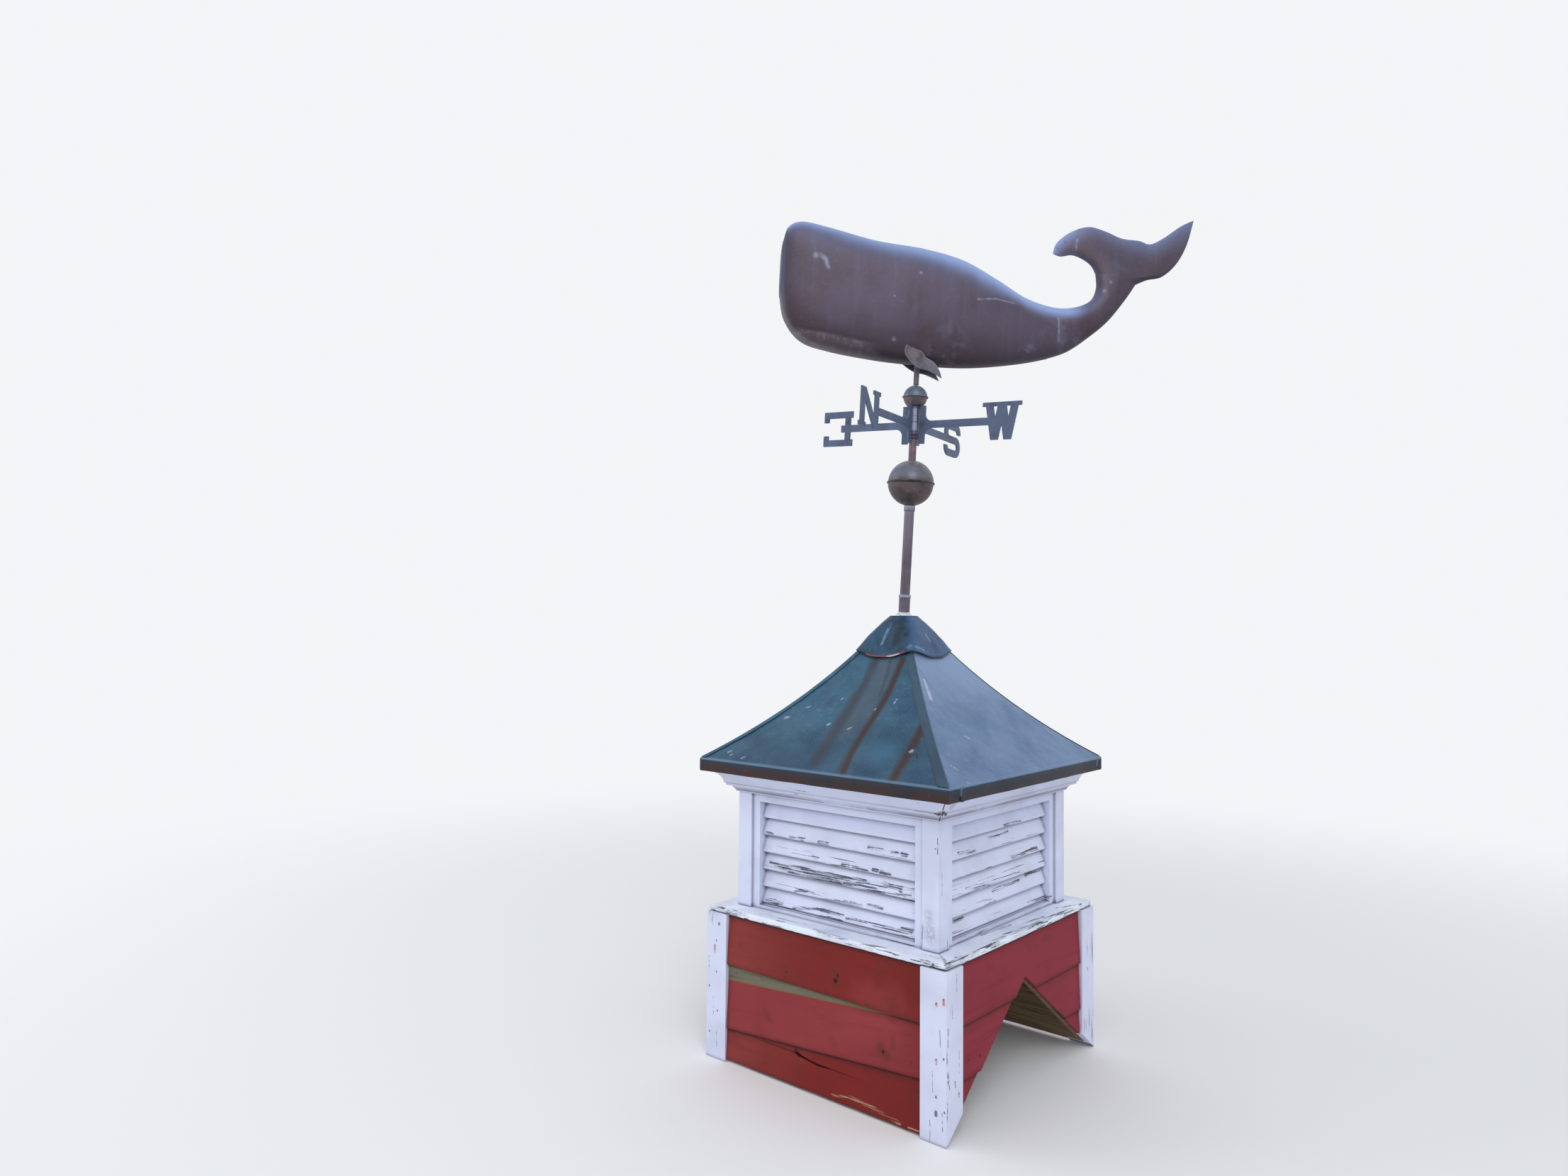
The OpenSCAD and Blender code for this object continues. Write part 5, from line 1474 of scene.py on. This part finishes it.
def caulk_ring(material):
    """A lumpy ring of caulk round the pole's foot."""
    piece = Piece()
    profile = [(POLE_R - 1, 0.2), (POLE_R + 8.5, 0.3), (POLE_R + 7, 1.8), (POLE_R + 4, 3.6)]
    profile += [(POLE_R + 2.2, 6.5), (POLE_R + 1.2, 8.5), (POLE_R - 1, 8.6)]
    revolve(piece, profile, dent=1.3, size=8, seed=4)
    piece.make("caulk_ring", material, "white_painted_wood", matrix=ON_POLE, sharp=70)


# Whale

# Sections from head to tail: back x, back z, belly x, belly z, half thickness as a share,
# squareness. x is ahead of the tube and z above the belly's lowest point.
SECTIONS = np.array([
    [319, 255, 319, 135, 0.60, 5],
    [309, 285, 306, 85, 0.80, 4.5],
    [279, 299, 268, 40, 0.92, 4],
    [220, 292, 205, 21, 0.98, 3.4],
    [110, 272, 100, 7, 1.00, 2.8],
    [0, 263, -5, 1, 0.99, 2.5],
    [-90, 244, -105, 2, 0.94, 2.4],
    [-170, 207, -195, 13, 0.84, 2.3],
    [-240, 170, -275, 30, 0.70, 2.2],
    [-305, 154, -340, 53, 0.56, 2.1],
    [-355, 158, -393, 92, 0.46, 2],
    [-392, 176, -436, 132, 0.39, 2],
    [-405, 206, -473, 182, 0.33, 2],
    [-402, 239, -497, 221, 0.29, 2],
])
# The sections are drawn for a longer whale of the same thickness
WHALE_SIZE = 936 / 946
WHALE_THICK = 116 / WHALE_SIZE
WHALE_CLEAR = 45  # from the small globe's top to the belly's lowest point
WHALE_HEADING = 225
SHEET_HALF = 0.7  # half the thickness of its sheet copper
FLUKE_LEFT = np.array([[-402, 239], [-391, 257], [-372, 270], [-345, 278], [-318, 273], [-300, 278]])
FLUKE_TOP = np.array([
    [-300, 278], [-308, 304], [-340, 331], [-381, 346], [-422, 338], [-460, 325], [-500, 323],
    [-527, 317], [-558, 334], [-597, 364], [-627, 380],
])
FLUKE_RIGHT = np.array([[-497, 221], [-524, 234], [-558, 244], [-590, 275], [-613, 321], [-627, 380]])
# The mouth line on both flanks, x and z, from the head back
MOUTH = np.array([(311, 63), (295, 56), (250, 52), (198, 47), (158, 41), (111, 35), (84, 32)])
EYE = (62, 44)
ON_WHALE = (
    ON_POLE @ Matrix.Rotation(math.radians(WHALE_HEADING), 4, "Z")
    @ Matrix.Translation((0, 0, (SMALL_AT + SMALL_R + WHALE_CLEAR) * MM)) @ Matrix.Scale(WHALE_SIZE, 4)
)


def curve_at(p, t):
    """Smooth curve through points, one unit of t to a point."""
    n = len(p) - 1
    i = min(n - 1, max(0, int(math.floor(t))))
    u = t - i
    a, b, c, d = p[max(0, i - 1)], p[i], p[i + 1], p[min(n, i + 2)]
    bend = u * u * (a - 2.5 * b + 2 * c - d / 2)
    return b + u * (c - a) / 2 + bend + u**3 * ((d - a) / 2 + 1.5 * (b - c))


def line_distance(x, z, line):
    """Distance from points to a line of points in the whale's middle plane."""
    best = np.full(x.shape, 1e9)
    for a, b in zip(line[:-1], line[1:]):
        way = b - a
        t = np.clip(((x - a[0]) * way[0] + (z - a[1]) * way[1]) / (way @ way), 0, 1)
        best = np.minimum(best, np.hypot(x - a[0] - t * way[0], z - a[1] - t * way[1]))
    return best


def whale_body(piece, steps=190, sides=112):
    """The body's skin with its mouth line, eyes, seam and dents, and a rounded flat front."""
    angle = np.linspace(0, 2 * math.pi, sides + 1)[:-1]
    rows, last = [], len(SECTIONS) - 1
    for t in np.linspace(0, last, steps):
        s = curve_at(SECTIONS, t)
        top, low = s[0:2], s[2:4]
        half = np.linalg.norm(top - low) / 2
        axis, mid = (top - low) / (2 * half), (top + low) / 2
        c, n = np.cos(angle), np.sin(angle)
        up = np.sign(c) * np.abs(c) ** (2 / s[5]) * half
        out = np.sign(n) * np.abs(n) ** (2 / s[5]) * s[4] * WHALE_THICK / 2
        rows.append(np.stack([mid[0] + axis[0] * up, out, mid[1] + axis[1] * up], -1))
    points = np.array(rows)
    x, y, z = points[..., 0], points[..., 1], points[..., 2]
    flank = np.clip(np.abs(y) / 20, 0, 1) * np.sign(y)
    mouth = line_distance(x, z, MOUTH)
    groove = np.clip(1 - mouth / 2.6, 0, 1) ** 0.7 * np.clip((x - 94) / 12, 0, 1)
    lip = np.interp(x, MOUTH[::-1, 0], MOUTH[::-1, 1])
    jaw = np.clip((lip - z) / 4, 0, 1) * np.clip((x - 96) / 20, 0, 1)
    eye = np.hypot(x - EYE[0], z - EYE[1])
    socket = np.clip(1 - np.abs(eye - 5) / 3, 0, 1) * 0.7
    dents = rough(points, 90, 2) * 1.3 + rough(points, 34, 5) * 0.45
    dents = dents * np.clip(np.linspace(last, 0, steps)[:, None] / 0.8, 0, 1)
    seam = np.clip(1 - np.abs(y) / 2.2, 0, 1) * 0.9
    points[..., 1] = y - flank * (groove * 1.6 + jaw * 1.0 + socket) + np.sign(y) * dents
    away = np.where(np.cos(angle) > 0, 1, -1)[None, :]
    points[..., 2] = z + away * seam * (x > -300)
    crease = np.clip(groove, 0, 1) * 0.6 + np.clip(1 - np.abs(eye - 5) / 1.2, 0, 1) * 0.4
    piece.skin(points, wrap=True, ahead=x * MM, above=z * MM, crease=crease)
    ring = points[0]
    centre = ring.mean(0)
    front = [centre + (ring - centre) * k + np.array((d, 0, 0)) for k, d in
             ((0.0, 3.2), (0.4, 3.0), (0.7, 2.5), (0.88, 1.7), (0.96, 0.9), (1.0, 0.0))]
    front = np.array(front)
    piece.skin(front, wrap=True, ahead=(front[..., 0] + 4) * MM, above=front[..., 2] * MM)


def fluke_sheet(across=56, along=44):
    """Points of the flukes' middle sheet and their half thickness."""
    points = np.zeros((along + 1, across + 1, 2))
    half = np.zeros((along + 1, across + 1))
    seam_half = SECTIONS[-1][4] * WHALE_THICK / 2
    for j in range(along + 1):
        for i in range(across + 1):
            u, v = (1 - math.cos(math.pi * i / across)) / 2, j / along
            seam = FLUKE_LEFT[0] * (1 - u) + FLUKE_RIGHT[0] * u
            top = curve_at(FLUKE_TOP, (len(FLUKE_TOP) - 1) * u)
            left = curve_at(FLUKE_LEFT, (len(FLUKE_LEFT) - 1) * v)
            right = curve_at(FLUKE_RIGHT, (len(FLUKE_RIGHT) - 1) * v)
            flat = (FLUKE_LEFT[0] * (1 - u) + FLUKE_RIGHT[0] * u) * (1 - v)
            flat = flat + (FLUKE_TOP[0] * (1 - u) + FLUKE_TOP[-1] * u) * v
            points[j, i] = seam * (1 - v) + top * v + left * (1 - u) + right * u - flat
            half[j, i] = seam_half * math.sin(math.pi * i / across) * (1 - v) ** 0.6
    return points, np.maximum(half, SHEET_HALF)


def whale_flukes(piece):
    """The two sides of the flukes' sheet, and strips that close its edges."""
    sheet, half = fluke_sheet()
    x, z = sheet[..., 0], sheet[..., 1]
    v = np.linspace(0, 1, sheet.shape[0])[:, None]
    u = (1 - np.cos(np.linspace(0, math.pi, sheet.shape[1])))[None, :] / 2
    rim = np.maximum(np.clip((v - 0.72) / 0.28, 0, 1) ** 1.6, np.clip((0.1 - u) / 0.1, 0, 1) ** 2 * 0.5)
    for s in (-1, 1):
        points = np.stack([x, s * half, z], -1)
        calm = np.clip(half / 4, 0, 1) * np.linspace(0, 4, len(half)).clip(0, 1)[:, None]
        points[..., 1] += rough(points, 40, 3 + s) * 0.8 * calm
        order = slice(None, None, s)
        piece.skin(
            points[:, order], ahead=x[:, order] * MM, above=z[:, order] * MM, rim=rim[:, order]
        )
    for edge, blue in ((sheet[:, 0], 0.0), (sheet[:, -1], 0.0), (sheet[-1], 1.0)):
        strip = np.array([[(p[0], -SHEET_HALF, p[1]), (p[0], SHEET_HALF, p[1])] for p in edge])
        piece.skin(strip, ahead=strip[..., 0] * MM, above=strip[..., 2] * MM, rim=blue)


def whale(material):
    """Body and flukes are one skin, as where the real halves are soldered together."""
    piece = Piece("ahead", "above", "crease", "rim")
    whale_body(piece)
    whale_flukes(piece)
    piece.make(
        "whale_skin", material, "brown_copper", "whale_body", "whale_flukes",
        body="whale", matrix=ON_WHALE, sharp=42,
    )


# Fins as x and drop along the plate, from a root at (out, up) and tilted in below the belly
FIN_TRAIL = np.array([(0, 17), (-6, 22), (-14, 31), (-32, 40), (-48, 59), (-55, 76)], float)
FIN_LEAD = np.array([(36, 4), (38, 15), (30, 33), (4, 54), (-24, 61), (-55, 76)], float)
FIN_ROOT = (46, 40)
FIN_TILT = math.radians(25)


def whale_fins(material):
    """Swept fins of dished sheet, thickest ahead of the middle, on both flanks."""
    piece = Piece("edge", "drop")
    rows, columns = 34, 17
    share = np.linspace(0, 1, columns)[None, :]
    lead, trail = (
        np.array([curve_at(line, (len(line) - 1) * r / (rows - 1)) for r in range(rows)])
        for line in (FIN_LEAD, FIN_TRAIL)
    )
    x = lead[:, :1] + (trail[:, :1] - lead[:, :1]) * share
    drop = lead[:, 1:] + (trail[:, 1:] - lead[:, 1:]) * share
    taper = np.linspace(1, 0.15, rows)[:, None]
    thick = 0.7 + 3.6 * np.sin(math.pi * share**0.7) ** 0.8 * taper
    edge = np.clip(np.abs(share - 0.5) * 10 - 4, 0, 1) + 0 * taper
    for side in (-1, 1):
        sheets = []
        for t in (thick, -thick * 0.5):
            out = FIN_ROOT[0] - drop * math.sin(FIN_TILT) + t * math.cos(FIN_TILT)
            up = FIN_ROOT[1] - drop * math.cos(FIN_TILT) - t * math.sin(FIN_TILT)
            sheets.append(np.stack([x, side * out, up], -1))
            piece.skin(sheets[-1], edge=edge, drop=drop * MM)
        front, rear = sheets
        for a, b in ((front[:, 0], rear[:, 0]), (front[:, -1], rear[:, -1]), (front[0], rear[0])):
            piece.skin(np.stack([a, b], 1), edge=1.0, drop=0.05)
    piece.make("fins", material, "brown_copper", "whale_fins", body="whale", matrix=ON_WHALE)


# CAD nodes that keep their shape

def dress(nodes, material, bevel=0.0):
    """Gives CAD nodes a material and rounds their edges by a bevel in millimetres."""
    for name in nodes:
        node = frame["nodes"][name]
        node.data.materials.clear()
        node.data.materials.append(material)
        if bevel:
            weld = node.modifiers.new("weld", "WELD")
            weld.merge_threshold = 0.00002
            round_over = node.modifiers.new("bevel", "BEVEL")
            round_over.width = bevel * MM
            round_over.segments = 2
            round_over.limit_method = "ANGLE"
            round_over.angle_limit = math.radians(35)
            round_over.harden_normals = False
            node.modifiers.new("normals", "WEIGHTED_NORMAL")


def dress_cad_nodes():
    """Posts, corner boards, louvres, inner boards, arms, tube and spindle."""
    corners = [f"{a}_{b}" for a in ("front", "back") for b in ("left", "right")]
    upright = white_paint("white_upright", ALONG_Z, post_wear, marks=POST_MARKS)
    dress(["post_" + c for c in corners], upright, 1.2)
    boards = white_paint("white_corner", ALONG_Z, marks=CORNER_MARKS)
    dress(["corner_boards_" + c for c in corners], boards, 1.0)
    louvre_x = white_paint("louvre_x", ALONG_X, slat_wear(True), lines=front_cracks)
    louvre_y = white_paint("louvre_y", ALONG_Y, slat_wear(False), lines=right_cracks)
    dress(["louvre_front", "louvre_back"], louvre_x, 0.6)
    dress(["louvre_right", "louvre_left"], louvre_y, 0.6)
    dress(["base_wall_" + s for s in SIDES], raw_wood("sheathing", ALONG_X))
    dress(["eave_frame", "peak_block"] + ["deck_" + s for s in SIDES], raw_wood("deck", ALONG_Y))
    plates = brown_copper("plate", PLATE, srgb(92, 110, 142), srgb(60, 60, 80), size=30, blue=0.3)
    dress(["arm_" + a for a in ("north", "east", "south", "west")], plates, 0.6)
    tube = brown_copper("tube", MAUVE, MAUVE_LIGHT, MAUVE_DARK, size=30, runs=0.4)
    dress(["whale_tube"], tube, 0.3)
    dress(["spindle"], steel())


def build_pieces():
    """The pieces that take the place of CAD nodes, and the small ones that are added."""
    red = barn_red()
    # The sills take a brighter white than the other paint, for their lit tops: painted light
    bright = srgb(232, 240, 255)
    sill_x = white_paint("sill_x", ALONG_X, sill_wear, lines=sill_cracks, base=bright)
    sill_y = white_paint("sill_y", ALONG_Y, sill_wear, lines=sill_cracks, base=bright)
    crown_x = white_paint("crown_x", ALONG_X, crown_wear, marks=CROWN_MARKS, grooves=True)
    crown_y = white_paint("crown_y", ALONG_Y, crown_wear, marks=CROWN_MARKS, grooves=True)
    for side, turn in SIDES.items():
        clapboards(side, turn, red)
        sill(side, turn, sill_x if turn in (FRONT, BACK) else sill_y)
        crown(side, turn, crown_x if turn in (FRONT, BACK) else crown_y)
    copper_roof(roof_copper())
    roof_cap(cap_copper())
    mauves = (MAUVE, MAUVE_LIGHT, MAUVE_DARK)
    pole(brown_copper("pole_copper", *mauves, size=20, runs=0.5, fade=POLE_FADE))
    ball("large_ball", "globe", GLOBE_AT, GLOBE_R, COLLAR_R, NECK_R, globe_copper(), seed=4)
    small = ball_copper()
    ball("small_ball", "small_globe", SMALL_AT, SMALL_R, SMALL_FOOT_R, SPINDLE_R, small, seed=7)
    reds = (RED_COPPER, srgb(136, 116, 128), srgb(88, 58, 64))
    neck(brown_copper("neck_copper", *reds, size=40, blue=0.1))
    hub(hub_copper())
    caulk_ring(caulk())
    rail_beads(white_paint("white_bead", ALONG_X))
    whale(whale_copper())
    whale_fins(fin_copper())


# Floor, light and camera

PALE = (0.90, 0.91, 0.93)
SKY, SKY_STRENGTH = (0.96, 0.98, 1.0), 0.72
FLOOR, FLOOR_RADIUS, FLOOR_FADE = (0.86, 0.87, 0.89), 12.0, (1.2, 4.0)
LIGHT_AIM, LIGHT_SIZE = (0, 0, 0.8), 3.0


def world_light():
    """A plain soft studio: even light from all round, a pale background to the eye."""
    world = bpy.data.worlds.new("studio")
    bpy.context.scene.world = world
    world.use_nodes = True
    tree = world.node_tree
    tree.nodes.clear()
    link = tree.links.new
    kinds = ("OutputWorld", "MixShader", "LightPath")
    out, mix, path = (tree.nodes.new("ShaderNode" + kind) for kind in kinds)
    for socket, colour, strength in ((1, SKY, SKY_STRENGTH), (2, PALE, 1.0)):
        glow = tree.nodes.new("ShaderNodeBackground")
        glow.inputs["Color"].default_value = (*colour, 1)
        glow.inputs["Strength"].default_value = strength
        link(glow.outputs[0], mix.inputs[socket])
    seen = path.outputs["Is Camera Ray"]
    for ray in ("Is Glossy Ray", "Is Transmission Ray"):
        either = tree.nodes.new("ShaderNodeMath")
        either.operation = "MAXIMUM"
        link(seen, either.inputs[0])
        link(path.outputs[ray], either.inputs[1])
        seen = either.outputs[0]
    link(seen, mix.inputs[0])
    link(mix.outputs[0], out.inputs["Surface"])


def soft_box(name, place, power):
    """A round area light that faces the cupola; power is in watts."""
    light = bpy.data.lights.new(name, "AREA")
    light.shape = "DISK"
    light.size = LIGHT_SIZE
    light.energy = power
    lamp = bpy.data.objects.new(name, light)
    lamp.location = place
    lamp.rotation_euler = (Vector(LIGHT_AIM) - Vector(place)).to_track_quat("-Z", "Y").to_euler()
    bpy.context.scene.collection.objects.link(lamp)


def floor():
    """A pale floor that keeps the shadow and fades to the background's colour."""
    mesh = bpy.data.meshes.new("floor")
    work = bmesh.new()
    bmesh.ops.create_circle(work, cap_ends=True, radius=FLOOR_RADIUS, segments=96)
    work.to_mesh(mesh)
    work.free()
    ground = bpy.data.objects.new("floor", mesh)
    bpy.context.scene.collection.objects.link(ground)
    g = Graph("floor")
    away = g.vector("LENGTH", g.place)
    glow, mix, path = (g.add("ShaderNode" + kind) for kind in ("Emission", "MixShader", "LightPath"))
    g.plug(PALE, glow.inputs["Color"])
    g.plug(g.step(away, *FLOOR_FADE) * Num(g, path.outputs["Is Camera Ray"]), mix.inputs[0])
    g.colour = FLOOR
    g.finish(0.9, specular=0.1)
    g.plug(g.shader.outputs[0], mix.inputs[1])
    g.plug(glow.outputs[0], mix.inputs[2])
    g.plug(mix.outputs[0], g.out.inputs["Surface"])
    mesh.materials.append(g.material)


def camera():
    """The photograph's view: place in metres, angles in degrees, focal length in pixels."""
    place = (1.3232, -1.9243, 0.9347)
    yaw, pitch, roll = (math.radians(a) for a in (41.1099, 2.0472, 0.4178))
    focal_px, width_px = 1463.22, 2212
    ahead = Vector((-math.sin(yaw) * math.cos(pitch), math.cos(yaw) * math.cos(pitch), math.sin(pitch)))
    right = Vector((math.cos(yaw), math.sin(yaw), 0))
    up = right.cross(ahead)
    turned = right * math.cos(roll) + up * math.sin(roll)
    top = up * math.cos(roll) - right * math.sin(roll)
    data = bpy.data.cameras.new("camera")
    data.sensor_fit = "HORIZONTAL"
    data.sensor_width = 36
    data.lens = focal_px * data.sensor_width / width_px
    data.clip_start = 0.05
    eye = bpy.data.objects.new("camera", data)
    bpy.context.scene.collection.objects.link(eye)
    axes = Matrix((turned, top, -ahead)).transposed().to_4x4()
    eye.matrix_world = Matrix.Translation(place) @ axes
    bpy.context.scene.camera = eye


bpy.context.scene.view_settings.view_transform = "Standard"
camera()
world_light()
soft_box("key", (3.2, -3.4, 4.2), power=95)
soft_box("fill", (-3.8, -2.6, 2.6), power=40)
floor()
dress_cad_nodes()
build_pieces()
